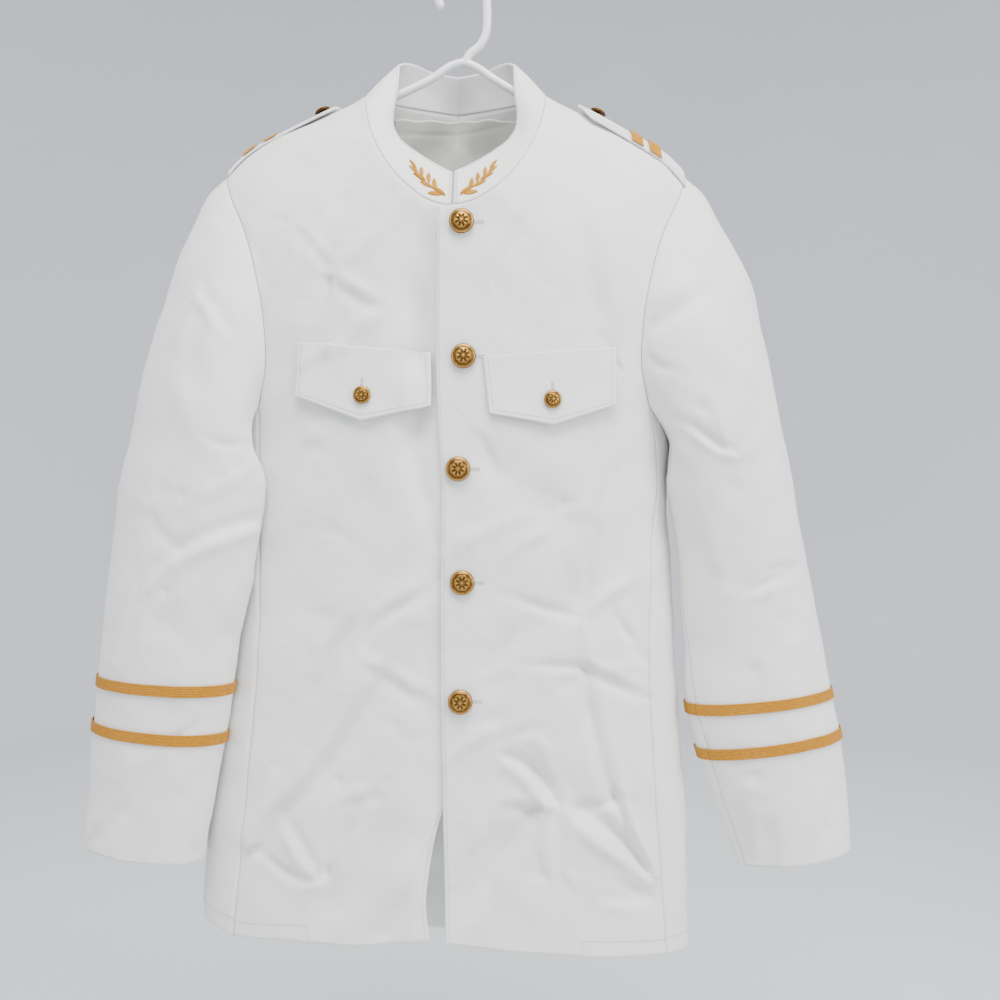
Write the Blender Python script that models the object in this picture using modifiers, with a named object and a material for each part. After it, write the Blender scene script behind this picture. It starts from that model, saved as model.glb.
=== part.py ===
"""White naval officer's jacket, hanging buttoned on a plastic hanger.

The hook's inner crown is the origin, +Z is up and the front faces -Y. Sizes are in millimetres and
become metres when a mesh is made. Each cut piece of cloth is a closed wall around a grid of middle
points, and neighbours share the same seam points, drawn back by half the seam gap on each side.
A side coordinate x is measured outward from the jacket's centre plane on the wearer's left or right.
"""
import math

import bmesh
import bpy
import numpy as np
from mathutils import Vector
from mathutils.bvhtree import BVHTree

MM = 0.001
CENTRE_X = -6.0          # the centre plane hangs this far to the wearer's right of the hook
SIGNS = {"left": 1.0, "right": -1.0}     # the wearer's sides along X
CLOTH = 1.8
COLLAR_CLOTH = 2.6
SEAM_GAP = 0.3
LAP_DEPTH = 3.4          # the right front lies this far behind the left one where they lap

NECK_HALF = 86.0
NECK_LEVEL = -120.0
NECK_DROP = 128.0        # from the shoulder's neck point down to the front of the neck
SHOULDER_SLOPE = 0.584
FRONT_REACH = 160.0      # drop from the shoulder line at which the front has its full depth
BACK_REACH = 100.0
SQUARENESS = 2.5         # exponent of the oval cross-section
COLUMNS_FRONT = 8
COLUMNS_BACK = 6
COLUMNS_SIDE = 5
ROWS_BELOW = 11
HEAD_ROWS = 7
ARM_ROWS = 10
COLLAR_ROWS = 3


def table(names, *rows):
    """Columns by name from a list of rows."""
    return {name: np.array(column, float) for name, column in zip(names.split(), zip(*rows))}


# Half widths and depths of the body at each level
BODY = table("level left right front back",
             (-110, 250, 250, 88, 68),
             (-200, 250, 250, 88, 72),
             (-261, 243, 243, 88, 74),
             (-310, 235, 235, 88, 74),
             (-356, 224, 224, 88, 73),
             (-395, 216, 216, 88, 72),
             (-425, 210, 210, 88, 71),
             (-455, 206, 207, 88, 70),
             (-520, 203, 206, 87, 66),
             (-570, 206, 207, 86, 62),
             (-650, 210, 215, 84, 58),
             (-745, 216, 232, 82, 58),
             (-800, 221, 238, 81, 60),
             (-860, 221, 241, 80, 61),
             (-960, 225, 243, 80, 62))

# Level of the shoulder line, rounded up over the shoulder and dropping to the sleeve
SHOULDER = table("x level",
                 (86, -120),
                 (100, -128),
                 (114, -134.8),
                 (138, -145.4),
                 (151, -151),
                 (165, -157.3),
                 (178, -163.6),
                 (190, -170),
                 (202, -178.4),
                 (212, -187.6),
                 (222.5, -200))

ARMHOLE = table("level front back",
                (-200, 222.5, 222.5),
                (-226, 212, 216),
                (-261, 195, 207),
                (-310, 180, 199),
                (-356, 173, 195),
                (-395, 173, 194.5),
                (-412, 177, 196),
                (-425, 180, 197.5),
                (-432, 182, 198))

FRONT_SEAM = table("level left right",
                   (-425, 180, 180),
                   (-489, 189, 180),
                   (-545, 184, 180),
                   (-607, 181, 179),
                   (-660, 180, 180.5),
                   (-730, 182.5, 186),
                   (-800, 187, 192.5),
                   (-935, 197, 206))

BACK_SEAM = table("level left right",
                  (-432, 198, 198),
                  (-490, 190, 190),
                  (-560, 182, 183),
                  (-650, 178, 182),
                  (-745, 183, 195),
                  (-860, 190, 206),
                  (-960, 196, 210))

# Where the front edge of each front lies, measured outward on its own side
FRONT_EDGE = table("level left right",
                   (-250.5, -10.5, -20),
                   (-262, -14, -24),
                   (-430, -13.5, -24),
                   (-500, -9.5, -24),
                   (-560, -10.5, -24),
                   (-700, -10.2, -20),
                   (-760, -9.2, -5),
                   (-805, -8.5, 13),
                   (-850, -7.5, 22),
                   (-870, -7.2, 24.5),
                   (-915, -6.5, 20))

HEM = table("left right",
            (-913, -910),
            (-934, -915),
            (-950, -938),
            (-955, -955))
HEM_FRONT, HEM_FRONT_SEAM, HEM_BACK_SEAM, HEM_BACK = range(4)
HEM_SIDE_RISE = {"left": 0.0, "right": 16.0}

# Rows from the shoulder seam down to the side seams: level on the front neck or edge, level on the
# armhole, and the row's start on the back neck or centre-back seam
UPPER_ROWS = table("neck armhole nape_x nape",
                   (-120, -200, 86, -120),
                   (-124, -204, 84.5, -119.9),
                   (-131, -212, 81, -119.5),
                   (-142, -226, 75, -119),
                   (-157, -245, 66, -118.4),
                   (-175, -268, 54, -117.6),
                   (-195, -295, 40, -116.9),
                   (-215, -325, 22, -116.3),
                   (-232, -355, 0.15, -116),
                   (-244, -383, 0.15, -150),
                   (-248, -400, 0.15, -190),
                   (-250.5, -412, 0.15, -235),
                   (-262, -425, 0.15, -285))
NECK_ROWS = 11           # rows that start on the front neckline
NAPE_ROWS = 9            # rows that start on the back neckline
ARMHOLE_ROWS = 13
SHOULDER_ROWS = 8        # rows that take part of the shoulder line's curve
UNDERARM_DIP = 28.0

# The collar's upper edge: share of the way along from the shoulder to its front or back middle
COLLAR_FRONT = table("share x y z",
                     (0.00, 55.5, 8, -85),
                     (0.18, 55.8, -8, -112),
                     (0.52, 56.6, -35, -163.6),
                     (0.62, 50, -43, -176),
                     (0.73, 37.9, -50, -187.5),
                     (0.88, 18, -58, -202),
                     (1.00, 0.7, -62, -211.4))
COLLAR_BACK = table("share x y z",
                    (0.00, 55.5, 8, -85),
                    (0.25, 50, 21, -78),
                    (0.45, 42, 30, -76),
                    (0.70, 26, 40, -79.5),
                    (1.00, 0, 46, -82.5))
COLLAR_BULGE = 1.5

# Sections of each sleeve below the armhole. Inner and outer edge, half depth, tilt and twist in degrees
SLEEVES = {
    "left": table("level inner outer inner_y outer_y half tilt twist",
                  (-500, 201, 319, -50, -12, 44, 0, 18),
                  (-570, 212, 332, -38, -14, 43, 0, 34),
                  (-640, 217, 347, -28, -16, 42, 2, 50),
                  (-700, 221, 357, -26, -18, 41, 6, 62),
                  (-745, 232, 365, -25, -20, 39, 8, 67),
                  (-790, 248, 371, -25, -20, 36, 7, 62),
                  (-850, 268, 376, -25, -20, 33, 8, 56)),
    "right": table("level inner outer inner_y outer_y half tilt twist",
                   (-500, 174, 315, -70, -14, 46, 0, 0),
                   (-570, 184, 322, -68, -18, 46, 0, 0),
                   (-640, 200, 329, -64, -22, 44, 1, 0),
                   (-700, 209.5, 335, -60, -25, 42, 3, 0),
                   (-745, 217, 338.5, -57, -28, 40, 5, 0),
                   (-790, 225, 342, -54, -30, 37, 6, 0),
                   (-850, 237, 346.5, -50, -32, 34, 6, 0)),
}
SLEEVE_TOP = -500.0
SLEEVE_END = {"left": -850.0, "right": -840.0}

# The head of each sleeve is drawn in by this much at its outline
SLIM = table("level left right",
             (-200, 0, 0),
             (-212, -1, -1),
             (-229, 5, 5),
             (-243, 7, 12),
             (-264, 6.5, 13),
             (-283, 5, 13),
             (-305, 3, 13.5),
             (-325, 4, 14),
             (-359, 6, 12),
             (-397, 6, 9.5),
             (-436, 4, 7),
             (-500, 0, 0))
ANGLE_FRONT_SEAM = 12.0      # where the armhole's points come to lie on the sleeve's first section
ANGLE_UNDERARM = -50.0
ANGLE_BACK_SEAM = -85.0
SLEEVE_CLEAR = 5.5           # the sleeve's middle line stays this far off the body's
TOP_SEAM = 14                # places round the armhole where the two sleeve seams start
BACK_SEAM_PLACE = 23

# Large soft folds: place, slant in degrees from level, half length, half width and depth
FRONT_FOLDS = table("x z slant length width depth",
                    (-32, -365, 90, 130, 14, 8),
                    (45, -835, 48, 70, 18, 4),
                    (95, -765, -38, 55, 17, 4),
                    (-72, -700, 52, 80, 20, 4),
                    (-112, -560, 62, 80, 20, 3.5),
                    (108, -600, 35, 80, 20, 3.5),
                    (62, -500, -40, 60, 18, 3),
                    (-80, -850, 62, 55, 19, 4))
BACK_FOLDS = table("x z slant length width depth",
                   (-62, -420, 80, 140, 26, 4),
                   (72, -520, -75, 150, 28, 4),
                   (-110, -700, 70, 110, 24, 4),
                   (34, -760, -65, 110, 24, 4),
                   (118, -800, 75, 90, 22, 3.5))

LINING_CLOTH = 1.2
LINING_DEPTH = 2.6           # from the back's middle surface in to the lining's
LINING_TOP = -122.0
LINING_END = -234.0

FLAP_OFF = 0.45              # a flap's top edge clears the front by this much, its point by more
FLAP_LIFT = 3.0
FLAP_REACH = 7.0             # a flap stays outside what the front does this far to each side
FLAPS = {
    "left": table("x z", (27, -384), (147, -374), (146, -426), (90, -445), (33, -435)),
    "right": table("x z", (18.5, -380), (139, -370), (141, -418), (81, -441.5), (19.5, -428)),
}

STRAP_CLOTH = 2.2
STRAP_HALF = 24.0
STRAP_OUTER = 218.0
STRAP_INNER = {"left": 115.0, "right": 108.0}
STRAP_FORWARD = {"left": 4.0, "right": -12.0}     # how far its middle lies in front of the ridge
STRAP_CLEAR = 0.8
STRAP_LIFT = {"left": 4.5, "right": 2.0}
STRAP_BRAIDS = {"left": (171.7, 188.8), "right": (177.5, 196.5)}
STRAP_BRAID_WIDTH = 13.0
STRAP_BUTTON = {"left": 134.0, "right": 127.0}

BRAID_CLOTH = 1.0
BRAID_CLEAR = 1.0
BRAID_WIDTH = 10.4
SLEEVE_BRAIDS = {"left": (-701.0, -741.0), "right": (-682.0, -725.5)}

BUTTON_RADIUS = 11.1         # 35 line
SMALL_BUTTON_RADIUS = 8.0    # 25 line
BUTTON_STEPS = 14
FRONT_BUTTONS = table("x z", (8.25, -263.8), (10, -383.9), (5.1, -484.4), (8.7, -585.8), (6.9, -692.6))
POCKET_BUTTONS = {"left": (89.5, -423.0), "right": (80.5, -419.5)}

SPRIG_SHARE = 0.62           # place along the front half of the collar, from shoulder to front
SPRIG_HALF_LENGTH = 20.0
SPRIG_HALF_WIDTH = 15.0
SPRIG_CLOTH = 1.2

HANGER_RADIUS = 4.0
HOOK_RADIUS = 24.0
APEX_LEVEL = -84.4
# Half of the hanger's arms, just under the shoulder line
ARM = table("x level",
            (60, -118),
            (120, -144.3),
            (160, -162),
            (198, -183.5))

COLOURS = {
    "cloth": ((0.86, 0.86, 0.84), 0.85, 0.0),
    "lining": ((0.78, 0.79, 0.78), 0.75, 0.0),
    "braid": ((0.62, 0.33, 0.02), 0.45, 0.6),
    "button": ((0.36, 0.23, 0.06), 0.35, 1.0),
    "plastic": ((0.90, 0.90, 0.88), 0.25, 0.0),
}


def smooth(keys, values, at):
    """Smooth curve through a table: a cubic between rows, with slopes from the neighbouring rows."""
    order = np.argsort(keys)
    keys, values = keys[order], values[order]
    slopes = np.gradient(values, keys)
    at = np.clip(np.asarray(at, float), keys[0], keys[-1])
    k = np.clip(np.searchsorted(keys, at) - 1, 0, len(keys) - 2)
    width = keys[k + 1] - keys[k]
    t = (at - keys[k]) / width
    return ((1 + 2 * t) * (1 - t) ** 2 * values[k] + t * (1 - t) ** 2 * width * slopes[k]
            + t ** 2 * (3 - 2 * t) * values[k + 1] + t ** 2 * (t - 1) * width * slopes[k + 1])


def ease(t):
    """Rises smoothly from 0 to 1 as t goes from 0 to 1."""
    t = np.clip(t, 0, 1)
    return t * t * (3 - 2 * t)


def unit(vectors):
    return vectors / np.maximum(np.linalg.norm(vectors, axis=-1, keepdims=True), 1e-9)


def ridge(x):
    """Level of the shoulder line, carried on in towards the centre and out past the sleeve seam."""
    x = np.abs(x)
    beyond = np.minimum(x - NECK_HALF, 0) + np.maximum(x - SHOULDER["x"][-1], 0)
    hump = 0.0028 * (np.maximum(0, 100 - x) ** 2 - np.maximum(0, 100 - np.maximum(x, NECK_HALF)) ** 2)
    return smooth(SHOULDER["x"], SHOULDER["level"], x) - SHOULDER_SLOPE * beyond + hump


def fullness(drop, reach):
    """Share of the full depth at a drop below the shoulder line, round at the top."""
    share = np.clip(drop / reach, 0, 1)
    return (1 - (1 - share) ** 1.5) ** 0.6


def oval(x, z, side):
    """Share of the depth left at x in the oval cross-section at level z."""
    share = np.clip(np.abs(x) / smooth(BODY["level"], BODY[side], z), 0, 1)
    return (1 - share ** SQUARENESS) ** (1 / SQUARENESS)


def folds(rows, x, z):
    """Depth of the soft folds at x, z: bell-shaped across each fold, fading at its ends."""
    depth = np.zeros(np.broadcast(x, z).shape)
    for k in range(len(rows["x"])):
        slant = math.radians(rows["slant"][k])
        dx, dz = x - rows["x"][k], z - rows["z"][k]
        along = (dx * math.cos(slant) + dz * math.sin(slant)) / rows["length"][k]
        across = (dz * math.cos(slant) - dx * math.sin(slant)) / rows["width"][k]
        depth = depth + rows["depth"][k] * np.exp(-across ** 2 - along ** 4)
    return depth


def front_point(x, z, side, folded=True):
    """Point of the front's middle surface in jacket coordinates, from the side coordinate x."""
    sign = SIGNS[side]
    depth = smooth(BODY["level"], BODY["front"], z) * fullness(ridge(x) - z, FRONT_REACH) * oval(x, z, side)
    y = -depth
    if folded:
        own = {name: column[(FRONT_FOLDS["x"] > 0) | (side == "right")] for name, column in FRONT_FOLDS.items()}
        y = y + folds(own, sign * x, z) * ease((190 - x) / 40)
    if side == "right":
        y = y + LAP_DEPTH * ease((42 - x) / 24)
    return np.stack(np.broadcast_arrays(sign * x, y, z), -1)


def back_point(x, z, side):
    """Point of the back's middle surface in jacket coordinates."""
    sign = SIGNS[side]
    y = smooth(BODY["level"], BODY["back"], z) * fullness(ridge(x) - z, BACK_REACH) * oval(x, z, side)
    y = y - folds(BACK_FOLDS, sign * x, z) * ease((180 - x) / 40)
    return np.stack(np.broadcast_arrays(sign * x, y, z), -1)


def neckline_x(z):
    """Half width of the front neckline at level z, a U-shaped superellipse."""
    share = np.clip((NECK_LEVEL - z) / NECK_DROP, 0, 0.9999)
    return NECK_HALF * (1 - share ** 1.8) ** (1 / 1.9)


def below(start, end):
    """Levels of the rows below the armhole."""
    return np.linspace(start, end, ROWS_BELOW + 1)[1:]


def ruled(x_from, z_from, x_to, z_to, columns):
    """Rows between an inner and an outer edge, the top ones curved like the shoulder line."""
    u = np.linspace(0, 1, columns + 1)
    x = x_from[:, None] + (x_to - x_from)[:, None] * u
    z = z_from[:, None] + (z_to - z_from)[:, None] * u
    line = NECK_LEVEL - SHOULDER_SLOPE * (x - NECK_HALF)
    near = np.clip(1 - np.arange(len(x_from)) / SHOULDER_ROWS, 0, 1)[:, None] * (1 - u ** 6)
    return x, z + np.where(x > NECK_HALF, ridge(x) - line, 0) * near


def front_grid(side):
    """Middle points of a front: rows from the shoulder seam to the hem, columns outward."""
    inner_z = np.concatenate([UPPER_ROWS["neck"], below(UPPER_ROWS["neck"][-1], HEM[side][HEM_FRONT])])
    outer_z = np.concatenate([UPPER_ROWS["armhole"],
                              below(UPPER_ROWS["armhole"][-1], HEM[side][HEM_FRONT_SEAM])])
    edge_x = np.interp(-inner_z, -FRONT_EDGE["level"], FRONT_EDGE[side])
    inner_x = np.where(np.arange(len(inner_z)) < NECK_ROWS, neckline_x(inner_z), edge_x)
    arm_x = smooth(ARMHOLE["level"], ARMHOLE["front"], outer_z)
    seam_x = smooth(FRONT_SEAM["level"], FRONT_SEAM[side], outer_z)
    outer_x = np.where(np.arange(len(outer_z)) < ARMHOLE_ROWS, arm_x, seam_x)
    x, z = ruled(inner_x, inner_z, outer_x, outer_z, COLUMNS_FRONT)
    points = front_point(x, z, side)
    points[0, :, 1] = 0
    points[0, :, 2] = ridge(x[0])
    return points


def back_grid(side):
    """Middle points of a back half: rows from the shoulder seam to the hem, columns outward."""
    inner_z = np.concatenate([UPPER_ROWS["nape"], below(UPPER_ROWS["nape"][-1], HEM[side][HEM_BACK])])
    start = ARMHOLE["level"][-1]
    arm_z = UPPER_ROWS["armhole"] + (start - UPPER_ROWS["armhole"][-1]) * np.linspace(0, 1, ARMHOLE_ROWS) ** 3
    outer_z = np.concatenate([arm_z, below(start, HEM[side][HEM_BACK_SEAM])])
    inner_x = np.concatenate([UPPER_ROWS["nape_x"], np.full(ROWS_BELOW, UPPER_ROWS["nape_x"][-1])])
    arm_x = smooth(ARMHOLE["level"], ARMHOLE["back"], outer_z)
    seam_x = smooth(BACK_SEAM["level"], BACK_SEAM[side], outer_z)
    outer_x = np.where(np.arange(len(outer_z)) < ARMHOLE_ROWS, arm_x, seam_x)
    x, z = ruled(inner_x, inner_z, outer_x, outer_z, COLUMNS_BACK)
    points = back_point(x, z, side)
    u = np.linspace(0, 1, COLUMNS_BACK + 1)
    shoulder_x = x[0, 0] + (x[0, -1] - x[0, 0]) * u
    points[0] = np.stack([SIGNS[side] * shoulder_x, np.zeros_like(u), ridge(shoulder_x)], -1)
    return points


def round_point(angle, z, side):
    """Point of the body's oval at an angle from the side line, minus in front and plus behind."""
    width = smooth(BODY["level"], BODY[side], z)
    depth = np.where(angle < 0, smooth(BODY["level"], BODY["front"], z), smooth(BODY["level"], BODY["back"], z))
    power = 2 / SQUARENESS
    x = width * np.cos(angle) ** power
    y = np.sign(angle) * depth * np.abs(np.sin(angle)) ** power
    return np.stack(np.broadcast_arrays(SIGNS[side] * x, y, z), -1)


def side_grid(side, front, back):
    """Middle points of a side body, from the front seam round to the back seam."""
    first, last = front[ARMHOLE_ROWS - 1:, -1], back[ARMHOLE_ROWS - 1:, -1]
    m = np.linspace(0, 1, COLUMNS_SIDE + 1)[None, :]
    row = np.arange(ROWS_BELOW + 1)[:, None]
    dip = UNDERARM_DIP * np.clip(1 - row / 4, 0, 1) - HEM_SIDE_RISE[side] * ease((row - 5) / (ROWS_BELOW - 5))
    z = first[:, 2:] + (last[:, 2:] - first[:, 2:]) * m - dip * np.sin(math.pi * m)
    angles = []
    for edge, direction in ((first, -1), (last, 1)):
        share = np.clip(np.abs(edge[:, 0]) / smooth(BODY["level"], BODY[side], edge[:, 2]), 0, 1)
        angles.append(direction * np.arccos(share ** (SQUARENESS / 2)))
    angle = angles[0][:, None] + (angles[1] - angles[0])[:, None] * m
    points = round_point(angle, z, side)
    points += (first - points[:, 0])[:, None] * (1 - m)[..., None]
    points += (last - points[:, -1])[:, None] * m[..., None]
    return points


def sleeve_section(side, angle, level):
    """Points of the sleeve at an angle from its inner edge (plus in front) and a level."""
    rows = SLEEVES[side]
    value = {name: smooth(rows["level"], rows[name], level) for name in rows if name != "level"}
    middle = np.stack([(value["inner"] + value["outer"]) / 2, (value["inner_y"] + value["outer_y"]) / 2], -1)
    inward = np.stack([(value["inner"] - value["outer"]) / 2, (value["inner_y"] - value["outer_y"]) / 2], -1)
    forward = np.stack([-inward[..., 1], inward[..., 0]], -1)
    forward = unit(forward) * value["half"][..., None]
    turned = angle + np.radians(value["twist"])
    plan = middle + inward * np.cos(turned)[..., None] + forward * np.sin(turned)[..., None]
    z = level + np.tan(np.radians(value["tilt"])) * (plan[..., 0] - middle[..., 0])
    return off_body(np.stack([plan[..., 0], plan[..., 1], z], -1), side)


def off_body(points, side):
    """Points below the armhole pushed out from the body's oval until they clear it."""
    x, y, z = points[..., 0], points[..., 1], points[..., 2]
    clear = SLEEVE_CLEAR * ease((-428 - z) / 26)
    depth = np.where(y < 0, smooth(BODY["level"], BODY["front"], z), smooth(BODY["level"], BODY["back"], z))
    width = smooth(BODY["level"], BODY[side], z)
    inside = (np.abs(x) / (width + clear)) ** SQUARENESS + (np.abs(y) / (depth + clear)) ** SQUARENESS
    push = np.where((inside < 1) & (z < -428), np.maximum(inside, 0.05) ** (-1 / SQUARENESS), 1)
    return np.stack([x * push, y * push, z], -1)


def armhole_ring(side, front, side_body, back):
    """The armhole's seam points from the shoulder tip down the front and up the back."""
    ring = np.concatenate([front[:ARMHOLE_ROWS, -1], side_body[0, 1:-1], back[ARMHOLE_ROWS - 1:0:-1, -1]])
    return ring * np.array([SIGNS[side], 1, 1])


def ring_angles(ring):
    """Angle on the sleeve's first section of each armhole point, with the shoulder tip outermost."""
    count = len(ring)
    front_end, back_start = ARMHOLE_ROWS - 1, ARMHOLE_ROWS - 1 + COLUMNS_SIDE
    closed = np.concatenate([ring, ring[:1]])
    length = np.concatenate([[0], np.cumsum(np.linalg.norm(np.diff(closed, axis=0), axis=1))])
    place = np.arange(count + 1)

    def spread(start, end, angle_from, angle_to):
        by_length = (length[start:end + 1] - length[start]) / (length[end] - length[start])
        by_place = (place[start:end + 1] - start) / (end - start)
        return angle_from + (angle_to - angle_from) * (by_length + by_place) / 2

    down = spread(0, front_end, 180, ANGLE_FRONT_SEAM)
    under = np.interp(np.arange(1, COLUMNS_SIDE), (0, COLUMNS_SIDE / 2, COLUMNS_SIDE),
                      (ANGLE_FRONT_SEAM, ANGLE_UNDERARM, ANGLE_BACK_SEAM))
    up = spread(back_start, count, ANGLE_BACK_SEAM, -180)[:-1]
    return np.radians(np.concatenate([down, under, up]))


def sleeve_grid(side, ring, out):
    """Middle points of the whole sleeve, armhole to cuff: first a fan of curves, then sections."""
    angle = ring_angles(ring)
    first = sleeve_section(side, angle, np.full(len(ring), SLEEVE_TOP))
    second = sleeve_section(side, angle, np.full(len(ring), SLEEVE_TOP - 20))
    chord = first - ring
    length = np.linalg.norm(chord, axis=1, keepdims=True)
    low = ease((-250 - ring[:, 2:]) / 150)
    start = unit(unit(chord) + (0.25 + 0.75 * low) * out + (0.35 - 0.1 * low) * np.array([1, 0, 0]))
    control_a = ring + start * length * (0.4 - 0.05 * low)
    control_b = first + unit(first - second) * length * 0.32
    t = (np.arange(HEAD_ROWS) / HEAD_ROWS)[:, None, None]
    head = ((1 - t) ** 3 * ring + 3 * (1 - t) ** 2 * t * control_a
            + 3 * (1 - t) * t ** 2 * control_b + t ** 3 * first)
    head[1:] = off_body(head[1:], side)
    reach = np.clip((head[..., 0] - ring[0, 0] + 10) / 70, 0, 1)
    head[1:, :, 0] -= (smooth(SLIM["level"], SLIM[side], head[..., 2]) * reach)[1:]
    levels = np.linspace(SLEEVE_TOP, SLEEVE_END[side], ARM_ROWS + 1)
    arm = np.stack([sleeve_section(side, angle, np.full(len(ring), level)) for level in levels])
    return np.concatenate([head, arm]) * np.array([SIGNS[side], 1, 1])


def facing(points, core):
    """Unit normals of a grid, turned away from its core."""
    normals = unit(np.cross(np.gradient(points, axis=0), np.gradient(points, axis=1)))
    if ((points - core) * normals).sum() < 0:
        normals = -normals
    return normals


def mitre(one, other):
    """Shared direction across the seam of two walls, long enough to keep their thickness."""
    middle = unit(one + other)
    return middle / np.maximum((middle * one).sum(-1, keepdims=True), 0.5)


def hold_back(rim, inside, stretch=None):
    """Moves a rim's points half a seam gap towards the next points inside."""
    size = SEAM_GAP / 2 * (1 if stretch is None else np.linalg.norm(stretch, axis=-1, keepdims=True))
    rim += unit(inside - rim) * size


def material(kind):
    """One Principled material of each kind."""
    made = bpy.data.materials.get(kind)
    if made is None:
        colour, rough, metal = COLOURS[kind]
        made = bpy.data.materials.new(kind)
        made.use_nodes = True
        shader = made.node_tree.nodes["Principled BSDF"]
        shader.inputs["Base Color"].default_value = (*colour, 1)
        shader.inputs["Roughness"].default_value = rough
        shader.inputs["Metallic"].default_value = metal
    return made


def own_material(piece, kind):
    """Gives a piece its own copy of the material."""
    copy = material(kind).copy()
    copy.name = piece.name + "_" + kind
    piece.data.materials.clear()
    piece.data.materials.append(copy)


def to_world(points):
    """Jacket coordinates in millimetres to world metres."""
    return (points + np.array([CENTRE_X, 0, 0])) * MM


def wall(name, middle, out, thickness, kind):
    """Closed wall round a grid: faces half the thickness away on each side, and a rim between them.

    Solidify can't be used here, because seam edges must follow the mitre shared with the neighbour.
    """
    rows, columns = middle.shape[:2]
    points = np.concatenate([(middle + out * thickness / 2).reshape(-1, 3),
                             (middle - out * thickness / 2).reshape(-1, 3)])
    index = np.arange(rows * columns).reshape(rows, columns)
    cells = np.stack([index[:-1, :-1], index[1:, :-1], index[1:, 1:], index[:-1, 1:]], -1).reshape(-1, 4)
    rim = np.concatenate([index[0, :-1], index[:-1, -1], index[-1, :0:-1], index[:0:-1, 0]])
    following = np.roll(rim, -1)
    count = rows * columns
    edge = np.stack([rim, following, following + count, rim + count], -1)
    faces = np.concatenate([cells, cells[:, ::-1] + count, edge])
    mesh = bpy.data.meshes.new(name)
    mesh.from_pydata(to_world(points).tolist(), [], faces.tolist())
    shaped = bmesh.new()
    shaped.from_mesh(mesh)
    bmesh.ops.recalc_face_normals(shaped, faces=shaped.faces)
    shaped.to_mesh(mesh)
    shaped.free()
    mesh.shade_smooth()
    mesh.set_sharp_from_angle(angle=math.radians(50))
    piece = bpy.data.objects.new(name, mesh)
    JACKET.objects.link(piece)
    own_material(piece, kind)
    return piece


def surface_at(points, normals, row, column):
    """Point and normal between the points of a grid, at fractional row and column places."""
    rows, columns = points.shape[:2]
    row, column = np.clip(row, 0, rows - 1), np.clip(column, 0, columns - 1)
    r = np.minimum(row.astype(int), rows - 2)
    c = np.minimum(column.astype(int), columns - 2)
    fr, fc = (row - r)[..., None], (column - c)[..., None]

    def blend(grid):
        return ((1 - fr) * (1 - fc) * grid[r, c] + (1 - fr) * fc * grid[r, c + 1]
                + fr * (1 - fc) * grid[r + 1, c] + fr * fc * grid[r + 1, c + 1])

    return blend(points), unit(blend(normals))


def make_body():
    """Fronts, side bodies, backs, sleeves and collar, joined along shared seams."""
    pieces = {}
    for side in ("left", "right"):
        front, back = front_grid(side), back_grid(side)
        body_side = side_grid(side, front, back)
        core = np.array([0, 0, -500.0])
        out_front, out_back = facing(front, core), facing(back, core)
        out_side = facing(body_side, core)
        ridge_out = unit(np.array([SIGNS[side] * SHOULDER_SLOPE, 0, 1.0]))
        out_front[0] = ridge_out
        out_back[0] = ridge_out
        last = ARMHOLE_ROWS - 1
        for out_panel, column in ((out_front, 0), (out_back, -1)):
            joint = mitre(out_panel[last:, -1], out_side[:, column])
            out_panel[last:, -1] = joint
            out_side[:, column] = joint
        ring = armhole_ring(side, front, body_side, back)
        ring_out = armhole_ring(side, out_front, out_side, out_back)
        sleeve = sleeve_grid(side, ring, unit(ring_out))
        closed = np.concatenate([sleeve[:, -1:], sleeve, sleeve[:, :1]], axis=1)
        middle_line = sleeve.mean(axis=1, keepdims=True)
        out_sleeve = facing(closed, middle_line)[:, 1:-1]
        arm_joint = mitre(unit(armhole_ring(side, out_front, out_side, out_back))
                          * np.array([SIGNS[side], 1, 1]), out_sleeve[0])
        out_sleeve[0] = arm_joint
        out_front[:ARMHOLE_ROWS, -1] = arm_joint[:ARMHOLE_ROWS]
        out_side[0, :] = arm_joint[last:last + COLUMNS_SIDE + 1]
        out_back[0, -1] = arm_joint[0]
        out_back[last:0:-1, -1] = arm_joint[last + COLUMNS_SIDE:]
        pieces[side] = {"front": [front, out_front], "back": [back, out_back],
                        "side": [body_side, out_side], "sleeve": [sleeve, out_sleeve]}
    return pieces


def collar_half(side, pieces, part, top, rows, shares_from_shoulder=True):
    """Base points, base normals and top points of one quarter of the collar, from the shoulder on."""
    grid, out = pieces[side][part]
    base, base_out = grid[:rows, 0], out[:rows, 0]
    length = np.concatenate([[0], np.cumsum(np.linalg.norm(np.diff(base, axis=0), axis=1))])
    share = length / length[-1]
    edge = np.stack([SIGNS[side] * smooth(top["share"], top["x"], share),
                     smooth(top["share"], top["y"], share), smooth(top["share"], top["z"], share)], -1)
    if side == "right" and part == "front":
        edge[:, 1] += LAP_DEPTH * ease((share - 0.8) / 0.2)
    return base, base_out, edge


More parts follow.
